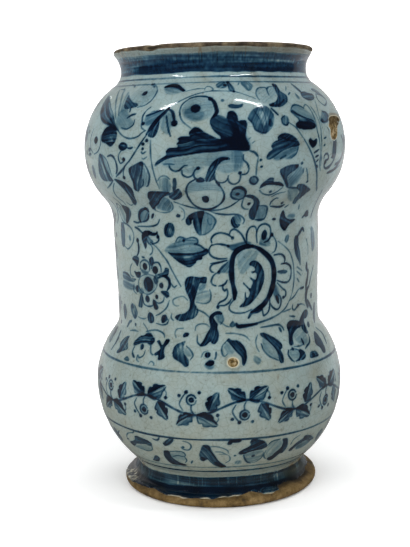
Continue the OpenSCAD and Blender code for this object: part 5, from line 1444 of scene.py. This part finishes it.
@dataclass(frozen=True)
class FiredClay:
    """Buff earthenware, thrown and left bare: a dry matt skin with sand grains, pits and dirt rubbed into it, and
    painted shade on the foot.
    """

    light: str = "#8C7650"
    mid: str = "#67532F"
    dark: str = "#33291A"
    lip_light: str = "#857860"
    lip_dark: str = "#42362A"
    # Near black for dirt on the lip and for painted shade on the foot's sides and bottom edge
    soot_and_shade: str = "#1B1710"
    grain_mm: float = 1.3
    pit_mm: float = 3.0
    stain_mm: float = 9.0
    ior: float = 1.5
    roughness: float = 0.8

    def make(self, name: str) -> bpy.types.Material:
        """Builds the material: stain noise picks the tone, greyer at the lip than at the foot, and pits dent it.

        Args:
            name: the material's name.

        Returns:
            The material; it reads the clay's darkening attribute, which holds dirt and painted shade.
        """
        material, tree, out = new_material(name)
        place = add(tree, "TexCoord").outputs["Object"]
        stain = add(tree, "TexNoise", {"Vector": place, "Scale": per_mm(self.stain_mm), "Detail": 6.0,
                                       "Roughness": 0.68})
        foot = add(tree, "ValToRGB", {"Fac": stain.outputs["Fac"]},
                   [(0.34, rgba(self.dark)), (0.64, rgba(self.light)), (0.47, rgba(self.mid))])
        lip = add(tree, "ValToRGB", {"Fac": stain.outputs["Fac"]},
                  [(0.40, rgba(self.lip_dark)), (0.60, rgba(self.lip_light))])
        height = add(tree, "SeparateXYZ", {"Vector": place})
        high = add(tree, "MapRange", {"Value": height.outputs["Z"], "From Min": 0.12, "From Max": 0.2})
        tone = mix(tree, high.outputs["Result"], foot.outputs["Color"], lip.outputs["Color"])
        grain = add(tree, "TexNoise", {"Vector": place, "Scale": per_mm(self.grain_mm), "Detail": 3.0})
        sand = add(tree, "ValToRGB", {"Fac": grain.outputs["Fac"]},
                   [(0.3, (0.7, 0.68, 0.65, 1)), (0.6, (1.08, 1.06, 1.03, 1))])
        sandy = mix(tree, 1.0, tone, sand.outputs["Color"], "MULTIPLY")
        # Dirt darkens the lip and foot, and the same attribute paints shade on the foot's sides and a contact shadow
        # along its bottom edge
        soot_and_shade = add(tree, "Attribute", attribute_name="soot_and_shade")
        colour = mix(tree, soot_and_shade.outputs["Fac"], sandy, rgba(self.soot_and_shade))
        pits = add(tree, "TexVoronoi", {"Vector": place, "Scale": per_mm(self.pit_mm)}, feature="SMOOTH_F1")
        dent = add(tree, "Bump", {"Height": pits.outputs["Distance"], "Strength": 0.5, "Distance": 0.0004})
        rough = add(tree, "Bump", {"Height": grain.outputs["Fac"], "Strength": 0.6, "Distance": 0.0003,
                                   "Normal": dent.outputs["Normal"]})
        dry = add(tree, "MapRange", {"Value": stain.outputs["Fac"], "From Min": 0.3, "From Max": 0.7,
                                     "To Min": self.roughness - 0.12, "To Max": self.roughness + 0.1})
        shader = add(tree, "BsdfPrincipled", {"Base Color": colour, "Roughness": dry.outputs["Result"],
                                              "IOR": self.ior, "Normal": rough.outputs["Normal"]})
        tree.links.new(shader.outputs["BSDF"], out.inputs["Surface"])
        return material


@dataclass(frozen=True)
class InsideGlaze:
    """The thinner glaze swilled round the inside: grey-cream, glossy, with runs and the stain of old contents."""

    light: str = "#B4B3A2"
    mid: str = "#9A998A"
    stain: str = "#6B6450"
    run_mm: float = 14.0
    ior: float = 1.5
    roughness: float = 0.24

    def make(self, name: str) -> bpy.types.Material:
        """Builds the material: noise drawn out upright gives runs, and it darkens towards the floor.

        Args:
            name: the material's name.

        Returns:
            The material.
        """
        material, tree, out = new_material(name)
        place = add(tree, "TexCoord").outputs["Object"]
        drawn = add(tree, "Mapping", {"Vector": place, "Scale": (1.0, 1.0, 0.25)})
        runs = add(tree, "TexNoise", {"Vector": drawn.outputs["Vector"], "Scale": per_mm(self.run_mm), "Detail": 5.0})
        tone = add(tree, "ValToRGB", {"Fac": runs.outputs["Fac"]},
                   [(0.3, rgba(self.stain)), (0.62, rgba(self.light)), (0.45, rgba(self.mid))])
        height = add(tree, "SeparateXYZ", {"Vector": place})
        deep = add(tree, "ValToRGB", {"Fac": height.outputs["Z"]}, [(0.01, (0.55, 0.5, 0.42, 1)), (0.16, (1, 1, 1, 1))])
        colour = mix(tree, 1.0, tone.outputs["Color"], deep.outputs["Color"], "MULTIPLY")
        gloss = add(tree, "MapRange", {"Value": runs.outputs["Fac"], "From Min": 0.3, "From Max": 0.7,
                                       "To Min": self.roughness + 0.2, "To Max": self.roughness})
        wave = add(tree, "Bump", {"Height": runs.outputs["Fac"], "Strength": 0.4, "Distance": 0.0006})
        shader = add(tree, "BsdfPrincipled", {"Base Color": colour, "Roughness": gloss.outputs["Result"],
                                              "IOR": self.ior, "Normal": wave.outputs["Normal"]})
        tree.links.new(shader.outputs["BSDF"], out.inputs["Surface"])
        return material


# Pieces


@dataclass
class ClayBody:
    """The thrown body: foot, wall, floor and lip in one, bare at the foot and the lip."""

    thrown: Thrown
    columns: int = 300
    lining_t: float = 0.4
    nick_at: float = -35.0
    back_nick_at: float = 118.0
    lip_wear_z: float = 257.2
    foot_wear_r: float = 56.5

    def build(self, finish: bpy.types.Material) -> bpy.types.Object:
        """Carries the section round the axis, from the dished base over the lip to the floor, and wears the lip.

        Args:
            finish: the clay.

        Returns:
            The piece.
        """
        o, th = self.thrown.outline, -180.0 + 360.0 * np.arange(self.columns) / self.columns
        dish_r = o.foot_r - o.foot_round_r - o.foot_ring_w
        base_r = np.concatenate([np.linspace(0, dish_r, 14), np.linspace(dish_r, o.foot_r - o.foot_round_r, 7)[1:-1]])
        base_z = o.base_dish_h * np.maximum(1 - (base_r / dish_r) ** 2, 0)
        s = np.concatenate([np.arange(0, 14, 0.45), np.arange(14, 278, 3.0), np.arange(278, o.length, 0.4)])
        r, z, nr, nz = o.at(s)
        depth = self.thrown.clay_depth(s)
        inside, turn = o.cavity()
        over = np.linspace(math.pi / 2, math.pi - turn, 7)[1:]
        lip_r = o.lip_r - o.lip_round_r + o.lip_round_r * np.cos(over)
        lip_z = o.jar_h - o.lip_round_r + o.lip_round_r * np.sin(over)
        back = inside[::-6][1:]
        lining = np.clip((o.jar_h - 3 - back[:, 2]) / 3.0, 0, 1) * self.lining_t
        floor_r = np.linspace(back[-1, 1], 0, 8)[1:]
        prof_r = np.concatenate([base_r, r - depth * nr, lip_r, back[:, 1] + lining * back[:, 3], floor_r])
        prof_z = np.concatenate([base_z, z - depth * nz, lip_z, back[:, 2] + lining * back[:, 4],
                                 np.full(len(floor_r), o.floor_h - self.lining_t)])
        rows = [np.broadcast_to(part[:, None], (len(part), len(th))) for part in (prof_r, prof_z)]
        t = np.radians(th)[None, :]
        # Wear: shallow dips along the lip and round the foot's edge, never proud of the turned shape
        dips = np.maximum(0.5 * np.sin(7 * t + 1.3) + 0.35 * np.sin(13 * t) + 0.3 * np.sin(31 * t + 2) - 0.2, 0)
        nicks = (np.exp(-((np.degrees(t) - self.nick_at) / 3.4) ** 2)
                 + 0.6 * np.exp(-((np.degrees(t) - self.back_nick_at) / 4) ** 2))
        worn = (0.01 + 0.14 * dips + 0.5 * nicks) * ease((rows[1] - self.lip_wear_z) / 2.2)
        foot_worn = 0.4 * dips * ease((rows[0] - self.foot_wear_r) / 2) * ease((7 - rows[1]) / 4) * ease(rows[1] / 0.8)
        faces = round_grid(self.thrown.place(th[None, :], rows[0] - foot_worn, rows[1] - worn), True)
        length = np.zeros(len(prof_r))
        length[len(base_r):len(base_r) + len(s)] = s
        # The clay's darkening: dirt on the lip and foot, with painted shade on the foot's sides and bottom edge
        faces.values = {"soot_and_shade": np.append(self.soot_and_shade(th[None, :], length[1:-1, None]).ravel(), [0.0, 0.0])}
        return faces.piece("clay_body_thrown", finish, "fired_clay", "clay_body")

    def soot_and_shade(self, theta: np.ndarray, s: np.ndarray) -> np.ndarray:
        """How dark the clay is made: dirt in a broken line under the lip and in its nick; on the foot, darker below the
        glaze and on the right flank, with painted shade towards both sides and a painted contact shadow along the
        bottom edge.

        Args:
            theta: degrees round the jar.
            s: lengths along the outside, 0 elsewhere.

        Returns:
            0 for clean to 1 for black.
        """
        t = np.radians(theta)
        broken = np.clip(0.55 + 0.4 * np.sin(9 * t + 0.4) + 0.35 * np.sin(23 * t + 2) + 0.2 * np.sin(57 * t), 0.1, 1)
        lip = 0.86 * broken * np.exp(-((s - 286.3) / 0.9) ** 2)
        lip = lip + 0.8 * np.exp(-((theta - self.nick_at) / 3.0) ** 2 - ((s - 285.8) / 1.3) ** 2)
        low = self.thrown.edges(theta)[0]
        # Darker below the glaze's edge and on the right flank and the back; the rise towards both sides is painted
        # shade, and the band along the bottom edge a painted contact shadow
        side = ease((theta - 34) / 5) * ease((84 - theta) / 14) + ease((np.abs(theta) - 100) / 30) * 0.6
        foot = ((0.25 + 0.55 * side) * ease((s - low + 4.2) / 4) + 0.35 * ease((2.2 - s) / 1.6)
                + 0.2 * ease((np.abs(theta) - 36) / 24))
        return np.clip(lip + foot * ease((40 - s) / 4) * ease(s / 0.3), 0, 0.92)


@dataclass(frozen=True)
class Chip:
    """A flake missing from the glaze: an outline of (theta, s) pairs, its depth in mm, and the s its dirt starts at."""

    name: str
    path: tuple[float, ...]
    depth: float = 0.4
    core: float = 0.75
    soiled_from: float = 300.0
    mm_per_degree: float = 1.4

    def beyond(self, theta: np.ndarray, s: np.ndarray) -> np.ndarray:
        """How far each place lies outside the outline, along the ray from the chip's middle.

        Args:
            theta: degrees round the jar.
            s: mm along the outside.

        Returns:
            Distance in mm, less than 0 inside the chip.
        """
        path = smooth_path(np.array(self.path).reshape(-1, 2), True, 8)
        mid = path.mean(0)
        flat = (path - mid) * (self.mm_per_degree, 1.0)
        x, y = (theta - mid[0]) * self.mm_per_degree, s - mid[1]
        edge = np.interp(np.arctan2(y, x), np.arctan2(flat[:, 1], flat[:, 0]), np.hypot(flat[:, 0], flat[:, 1]),
                         period=2 * np.pi)
        return np.hypot(x, y) - edge


CHIPS = (
    Chip("chip_shoulder", (57.2, 235.6, 58, 238, 62, 239.4, 69.2, 239.2, 72.8, 237.2, 68.5, 235, 65, 233, 63.7, 230,
                           62.2, 227.2, 59.4, 225.8, 57, 226.5, 56.2, 229, 56.8, 231.6, 55.8, 233.6),
         depth=0.45, core=0.97, soiled_from=233.0),
    Chip("chip_front", (3, 100.4, 3.6, 102.6, 5.6, 103.6, 7.8, 102.8, 8.7, 100.6, 7.8, 98.2, 5.6, 97.4, 3.7, 98.4),
         depth=0.4, core=0.7),
)


@dataclass
class OuterGlaze:
    """The pale tin glaze over the outside, from a ragged edge above the foot to the worn lip."""

    brush: Brushwork
    columns: int = 400
    foot_band_top: float = 23.0
    neck_band_low: float = 271.5

    def dents(self, theta: np.ndarray, s: np.ndarray) -> np.ndarray:
        """How far the face drops under the chips, a little wider than each chip.

        Args:
            theta: degrees round the jar.
            s: lengths along the outside.

        Returns:
            Depth in mm.
        """
        total = np.zeros(np.broadcast(theta, s).shape)
        for chip in CHIPS:
            total = total + (chip.depth + 0.12) * ease((2.6 - chip.beyond(theta, s)) / 1.4)
        return total

    def build(self, finish: bpy.types.Material) -> bpy.types.Object:
        """Carries the coat's thin section round: its face from the lower to the upper edge, then its back downwards.

        Args:
            finish: the tin glaze.

        Returns:
            The piece.
        """
        b, thrown = self.brush, self.brush.thrown
        th = (-180.0 + 360.0 * np.arange(self.columns) / self.columns)[None, :]
        low, top = thrown.edges(th)
        # Rows crowd towards both ragged edges, where the coat thins away
        rise = np.concatenate([4.5 * np.linspace(0, 1, 12) ** 1.6, np.linspace(4.5, 20, 26)[1:],
                               np.linspace(20, 246, 110)[1:]])[:, None]
        fall = np.concatenate([np.linspace(24, 3, 25)[:-1], 3 * np.linspace(1, 0, 11) ** 1.6])[:, None]
        s = np.concatenate([low + rise * (top - low - 24.6) / 246, top - fall])
        face = thrown.outside(th, s, thrown.glaze_depth(th, s) + self.dents(th, s))
        # The back takes every third row of the face, so that it stays under it in the hollow above the foot
        rows = np.unique(np.append(np.arange(1, len(s) - 1, 3), len(s) - 2))
        s_back = s[rows[::-1]]
        back = thrown.outside(th, s_back, thrown.clay_depth(s_back) + 0.16 + self.dents(th, s_back))
        faces = round_grid(np.concatenate([face, back]), False)
        both = np.concatenate([s, s_back])
        # The bands run under the painted pieces out to the coat's own edges
        on_band = ease((self.foot_band_top - both) / 2) + ease((both - self.neck_band_low) / 1.5)
        band = b.read(b.density, th, both) * on_band
        flake = b.flakes(th, both)
        faces.values = {"cobalt": (band * (1 - flake)).ravel(), "grime": b.read(b.grime, th, both).ravel(),
                        "bare": (FLAKE_BARE * flake).ravel()}
        return faces.piece("outer_glaze_coat", finish, "tin_glaze", "outer_glaze")


@dataclass
class Chips:
    """The flakes missing from the outer glaze, each a shallow pit of clay with the broken glaze round it."""

    thrown: Thrown
    proud: float = 0.05
    sunk: float = 0.1

    def build(self, finish: bpy.types.Material) -> None:
        """Makes each chip as rings from a collar on the glaze down into the pit, closed by its underside.

        Args:
            finish: the tin glaze, which shows clay where the attribute bare is 1.
        """
        share = np.concatenate([np.linspace(1.28, 1.02, 5), np.linspace(1.0, 0.72, 8), np.linspace(0.64, 0.06, 8)])
        for chip in CHIPS:
            path = smooth_path(np.array(chip.path).reshape(-1, 2), True, 8)
            mid = path.mean(0)
            spot = mid + (path - mid)[None, :, :] * share[:, None, None]
            phase = np.linspace(0, 2 * np.pi, len(path), endpoint=False)[None, :]
            pit = chip.depth * ease((1.0 - share) / 0.22)[:, None] * (1 + 0.16 * np.sin(5 * phase + 9 * share[:, None]))
            bare = np.clip((1.06 - share) / (1.06 - chip.core), 0, 1)[:, None] + 0 * phase
            theta, s = spot[..., 0], spot[..., 1]
            depth = self.thrown.glaze_depth(theta, s) + pit
            top = self.thrown.outside(theta, s, depth - self.proud)
            under = self.thrown.outside(theta, s, depth + self.sunk)
            middle = np.repeat(top[-1:].mean(1, keepdims=True), len(path), 1)
            below = np.repeat(under[-1:].mean(1, keepdims=True), len(path), 1)
            faces = round_grid(np.concatenate([below, under[::-1], top, middle]), True)
            values = np.concatenate([bare[::-1], bare]).ravel()
            soil = 0.8 * ease((s - chip.soiled_from) / 3.5)
            soil = np.concatenate([soil[::-1], soil]).ravel()
            faces.values = {"bare": np.concatenate([values, [1.0, 1.0]]), "cobalt": np.zeros(len(values) + 2),
                            "grime": np.concatenate([soil, [0.0, 0.0]])}
            faces.piece(chip.name, finish, "tin_glaze")


@dataclass
class InnerGlaze:
    """The glaze over the floor and the inside wall, up to the worn lip."""

    thrown: Thrown
    columns: int = 240
    coat_t: float = 0.4

    def build(self, finish: bpy.types.Material) -> bpy.types.Object:
        """Carries the lining's section round: its back from the floor up, then its face from the lip down.

        Args:
            finish: the inside glaze.

        Returns:
            The piece.
        """
        o, th = self.thrown.outline, (-180.0 + 360.0 * np.arange(self.columns) / self.columns)[None, :]
        inside = o.cavity()[0][::5]
        inside = inside[inside[:, 2] < o.jar_h - 1.6]
        coat = self.coat_t * ease((o.jar_h - 1.2 - inside[:, 2]) / 3.0)
        floor = np.linspace(0, inside[0, 1], 10)[:-1]
        r = np.concatenate([floor, inside[:, 1] + coat * inside[:, 3] + 0.05, inside[::-1, 1], floor[::-1]])
        z = np.concatenate([0 * floor + o.floor_h - self.coat_t, inside[:, 2] + coat * inside[:, 4], inside[::-1, 2],
                            0 * floor + o.floor_h])
        z = np.where(z < o.floor_h - self.coat_t, o.floor_h - self.coat_t, z)
        points = self.thrown.place(th, np.broadcast_to(r[:, None], (len(r), self.columns)), z[:, None] + 0 * th)
        return round_grid(points, True).piece("inner_glaze_coat", finish, "inside_glaze", "inner_glaze")


class Sides(Enum):
    """Which part of the way round a painted piece covers."""

    ALL = "all"
    FRONT = "front"
    BACK = "back"


@dataclass(frozen=True)
class Zone:
    """A painted piece: its name, the stretches of s that it covers, the CAD node that it stands for, and its sides."""

    name: str
    spans: tuple[tuple[float, float], ...]
    nodes: tuple[str, ...] = ()
    sides: Sides = Sides.ALL


ZONES = (
    Zone("foot_band", ((0, 24),), ("foot_band",)),
    Zone("foot_lines", ((24, 36),), ("foot_lines",)),
    Zone("border_leaves", ((36, 53),)),
    Zone("belly_lines", ((53, 58.5), (92.5, 98)), ("belly_lines",)),
    Zone("field_vine", ((58.5, 92.5),)),
    *(Zone(f"{part}_foliage_{sides.value}", (span,), (), sides)
      for part, span in (("low", (98, 150)), ("waist", (150, 205)), ("shoulder", (205, 262)))
      for sides in (Sides.FRONT, Sides.BACK)),
    Zone("shoulder_lines", ((262, 270),), ("shoulder_lines",)),
    Zone("neck_band", ((270, 289),), ("neck_band",)),
)


@dataclass
class PaintedCoat:
    """The cobalt painting as thin pieces fired into the face of the glaze, one for each zone of the wall."""

    brush: Brushwork
    proud: float = 0.07
    sunk: float = 0.12
    least: float = 0.006

    def build(self, finish: bpy.types.Material) -> None:
        """Cuts the painted cells of the grid into zones and makes a closed slab of each.

        Args:
            finish: the tin glaze, which reads the cobalt.
        """
        b, thrown = self.brush, self.brush.thrown
        th, s = b.theta[None, :], b.s[:, None]
        depth = thrown.glaze_depth(th, s)
        top, under = thrown.outside(th, s, depth - self.proud), thrown.outside(th, s, depth + self.sunk)
        across = np.roll(top, -1, 1) - np.roll(top, 1, 1)
        normal = np.cross(across, np.gradient(top, axis=0))
        normal /= np.maximum(np.linalg.norm(normal, axis=-1, keepdims=True), 1e-12)
        low, high = thrown.edges(th)
        flake = b.flakes(th, s)
        # The pigment stops a little short of the coat's ragged edges and of the chips
        shown = np.where((s > low + 0.15) & (s < high - 0.7), b.density * (1 - flake), 0)
        held = (s > low + 0.05) & (s < high - 0.5)
        for chip in CHIPS:
            shown = shown * ease((chip.beyond(th, s) - 0.4) / 0.5)
        corners = (shown[:-1], shown[1:], np.roll(shown, -1, 1)[:-1], np.roll(shown, -1, 1)[1:])
        on = np.maximum.reduce(corners) > self.least
        on &= held[:-1] & held[1:] & np.roll(held, -1, 1)[:-1] & np.roll(held, -1, 1)[1:]
        mid_s = (b.s[:-1] + b.row_step / 2)[:, None]
        half = b.columns // 2
        for zone in ZONES:
            within = np.zeros_like(on)
            for first, last in zone.spans:
                within |= (mid_s > first) & (mid_s < last)
            keep = on & within
            grids = [top, under, normal, shown, b.grime, FLAKE_BARE * flake]
            if zone.sides is not Sides.ALL:
                first = half // 2 if zone.sides is Sides.FRONT else half + half // 2
                cols = np.arange(first, first + half + 1) % b.columns
                grids = [g[:, cols] for g in grids]
                keep = keep[:, cols].copy()
                keep[:, -1] = False
            values = dict(zip(("cobalt", "grime", "bare"), grids[3:]))
            faces = slab(*grids[:3], keep, zone.sides is Sides.ALL, values)
            faces.piece(zone.name + "_painted", finish, "cobalt_pigment", *zone.nodes)


# Studio


@dataclass(frozen=True)
class Studio:
    """White paper behind and before the jar, soft lamps all round, two overhead strips for the glints, and a camera."""

    camera_at: tuple[float, float, float] = (-7.32, -603.0, 216.0)
    pitch: float = 8.417
    roll: float = 1.15
    focal_px: float = 1001.8
    image_h: float = 547.0
    sensor: float = 36.0
    aim: tuple[float, float, float] = (0.0, 0.0, 0.15)
    white: str = "#FFFFFF"
    paper_tone: str = "#FAFAFA"
    paper_dim: str = "#C4C4C4"
    paper_mirrored: str = "#868686"
    paper_start: float = -0.3
    paper_bend_r: float = 0.8
    paper_wall_h: float = 3.2
    paper_half_w: float = 4.0
    paper_drop: float = 0.0002

    def paper(self, name: str, flat: float, glow: tuple[float, float], mirrored: bool) -> None:
        """Lays a sheet of white paper: level from a line before the jar, then bent up into a wall by a quarter circle.

        It shows white to the camera and keeps the jar's shadow, because only part of its white is its own glow.

        Args:
            name: its name.
            flat: how far it runs level, in metres, backwards where positive.
            glow: its glow near the jar and far from it, 1 being white.
            mirrored: whether the glaze mirrors it.
        """
        rows, cols = 60, 9
        t = np.linspace(0, 1, rows)
        bend = np.pi / 2 * np.clip((t - 0.5) / 0.2, 0, 1)
        level = np.where(t < 0.5, t / 0.5 * abs(flat), abs(flat) + self.paper_bend_r * np.sin(bend))
        y = self.paper_start + math.copysign(1, flat) * level
        z = np.where(t < 0.7, self.paper_bend_r * (1 - np.cos(bend)),
                     self.paper_bend_r + (t - 0.7) / 0.3 * self.paper_wall_h) - self.paper_drop
        x = np.linspace(-self.paper_half_w, self.paper_half_w, cols)
        points = np.stack(np.broadcast_arrays(x[None, :], y[:, None], z[:, None]), -1)
        i, j = np.meshgrid(np.arange(rows - 1), np.arange(cols - 1), indexing="ij")
        corner = i * cols + j
        quads = np.stack([corner, corner + 1, corner + cols + 1, corner + cols], -1).reshape(-1, 4)
        mesh = bpy.data.meshes.new(name)
        mesh.from_pydata(points.reshape(-1, 3).tolist(), [], quads.tolist())
        mesh.polygons.foreach_set("use_smooth", np.ones(len(quads), bool))
        material, tree, out = new_material("white_paper_" + name)
        path = add(tree, "LightPath")
        seen = add(tree, "Math", {0: path.outputs["Is Camera Ray"], 1: path.outputs["Is Transmission Ray"]},
                   operation="MAXIMUM")
        # The paper glows more away from the jar, where less of the lamps' light falls on it
        place = add(tree, "TexCoord").outputs["Object"]
        along = add(tree, "SeparateXYZ", {"Vector": place})
        shaded = add(tree, "MapRange", {"Value": along.outputs["Y"], "From Min": 0.0, "From Max": 0.25 * flat,
                                        "To Min": 0.08, "To Max": 0.36})
        seen = add(tree, "Math", {0: path.outputs["Is Glossy Ray"], 1: shaded.outputs["Result"], 2: seen.outputs[0]},
                   operation="MULTIPLY_ADD")
        away = add(tree, "VectorMath", {0: place}, operation="LENGTH")
        even = add(tree, "MapRange", {"Value": away.outputs["Value"], "From Min": 0.1, "From Max": 0.42,
                                      "To Min": glow[0], "To Max": glow[1]})
        # The room's own white is kept off the paper close round the foot, as a soft shadow
        near = add(tree, "AmbientOcclusion", {"Distance": 0.14}, samples=8)
        soft = add(tree, "Math", {0: near.outputs["AO"], 1: 1.4}, operation="POWER")
        open_share = add(tree, "Math", {0: even.outputs["Result"], 1: soft.outputs[0]}, operation="MULTIPLY")
        shine = add(tree, "Math", {0: seen.outputs[0], 1: open_share.outputs[0]}, operation="MULTIPLY")
        tone = mix(tree, path.outputs["Is Camera Ray"], rgba(self.paper_dim), rgba(self.paper_tone))
        tone = mix(tree, path.outputs["Is Glossy Ray"], tone, rgba(self.paper_mirrored))
        face = add(tree, "BsdfDiffuse", {"Color": tone})
        lit = add(tree, "Emission", {"Color": rgba(self.white), "Strength": shine.outputs[0]})
        both = add(tree, "AddShader", {0: face.outputs[0], 1: lit.outputs[0]})
        tree.links.new(both.outputs[0], out.inputs["Surface"])
        mesh.materials.append(material)
        obj = bpy.data.objects.new(name, mesh)
        obj.visible_glossy = mirrored
        bpy.context.collection.objects.link(obj)

    def lamp(self, name: str, at: tuple[float, float, float], size: tuple[float, float], power: float,
             glint: bool) -> None:
        """Adds an area lamp aimed at the jar's middle.

        Args:
            name: its name.
            at: its place in metres.
            size: its two sides in metres.
            power: its power in watts.
            glint: whether the glaze mirrors it.
        """
        light = bpy.data.lights.new(name, "AREA")
        light.shape, light.size, light.size_y, light.energy = "RECTANGLE", size[0], size[1], power
        obj = bpy.data.objects.new(name, light)
        toward = np.array(at) - np.array(self.aim)
        toward /= np.linalg.norm(toward)
        side = np.cross([0.0, 1.0, 0.0], toward)
        side /= np.linalg.norm(side)
        matrix = np.eye(4)
        matrix[:3, 0], matrix[:3, 1], matrix[:3, 2], matrix[:3, 3] = side, np.cross(toward, side), toward, at
        obj.matrix_world = Matrix(matrix.tolist())
        obj.visible_glossy, obj.visible_camera = glint, False
        bpy.context.collection.objects.link(obj)

    def lights(self) -> None:
        """A dim even room, broad soft lamps in front and behind, and two bright strips overhead."""
        world = bpy.data.worlds.new("room")
        world.use_nodes = True
        tree = world.node_tree
        tree.nodes.clear()
        # White to the camera, and dim as light
        seen = add(tree, "LightPath").outputs["Is Camera Ray"]
        level = add(tree, "MapRange", {"Value": seen, "To Min": 0.08, "To Max": 1.0})
        shade = add(tree, "Background", {"Color": rgba(self.white), "Strength": level.outputs["Result"]})
        out = add(tree, "OutputWorld", {"Surface": shade.outputs[0]})
        out.is_active_output = True
        bpy.context.scene.world = world
        self.lamp("soft_left", (-1.4, -1.35, 0.5), (1.4, 1.0), 30.5, False)
        self.lamp("soft_right", (1.2, -1.5, 0.7), (1.4, 1.2), 21.0, False)
        self.lamp("soft_back_left", (-1.3, 1.2, 0.6), (1.4, 1.0), 14.0, False)
        self.lamp("soft_back_right", (1.3, 1.2, 0.6), (1.4, 1.0), 21.0, False)
        self.lamp("soft_top", (-0.1, -0.6, 2.0), (1.2, 1.0), 3.0, False)
        self.lamp("strip_left", (-0.61, -0.34, 1.2), (0.26, 0.035), 1.5, True)
        self.lamp("strip_right", (0.44, -0.36, 1.2), (0.38, 0.035), 2.0, True)

    def camera(self) -> None:
        """Sets the camera that was fitted to the jar's outline and painted rings."""
        data = bpy.data.cameras.new("photo_camera")
        data.sensor_width, data.sensor_fit = self.sensor, "AUTO"
        data.lens = self.focal_px / self.image_h * self.sensor
        data.clip_start, data.clip_end = 0.01, 50.0
        p, q = math.radians(self.pitch), math.radians(self.roll)
        right, up = np.array([1.0, 0, 0]), np.array([0, math.sin(p), math.cos(p)])
        back = np.array([0, -math.cos(p), math.sin(p)])
        matrix = np.eye(4)
        matrix[:3, 0], matrix[:3, 1] = math.cos(q) * right - math.sin(q) * up, math.sin(q) * right + math.cos(q) * up
        matrix[:3, 2], matrix[:3, 3] = back, np.array(self.camera_at) * MM
        obj = bpy.data.objects.new("photo_camera", data)
        obj.matrix_world = Matrix(matrix.tolist())
        bpy.context.collection.objects.link(obj)
        bpy.context.scene.camera = obj

    def build(self) -> None:
        """Puts up the camera, the two sheets of paper and the lights, with a plain view transform."""
        self.camera()
        self.paper("sweep", 1.5, (0.5, 1.0), True)
        self.paper("front_sheet", -1.9, (0.5, 1.0), False)
        self.lights()
        bpy.context.scene.view_settings.view_transform = "Standard"


def main() -> None:
    """Builds the studio and the jar's pieces in order."""
    logging.basicConfig(level=logging.INFO, format="%(name)s %(message)s")
    Studio().build()
    thrown = Thrown(Outline())
    brush = Brushwork(thrown)
    brush.paint()
    glaze = TinGlaze().make("tin_glaze_with_cobalt")
    ClayBody(thrown).build(FiredClay().make("bare_buff_earthenware"))
    OuterGlaze(brush).build(glaze)
    InnerGlaze(thrown).build(InsideGlaze().make("inside_tin_glaze"))
    PaintedCoat(brush).build(glaze)
    Chips(thrown).build(glaze)


if __name__ == "__main__":
    main()
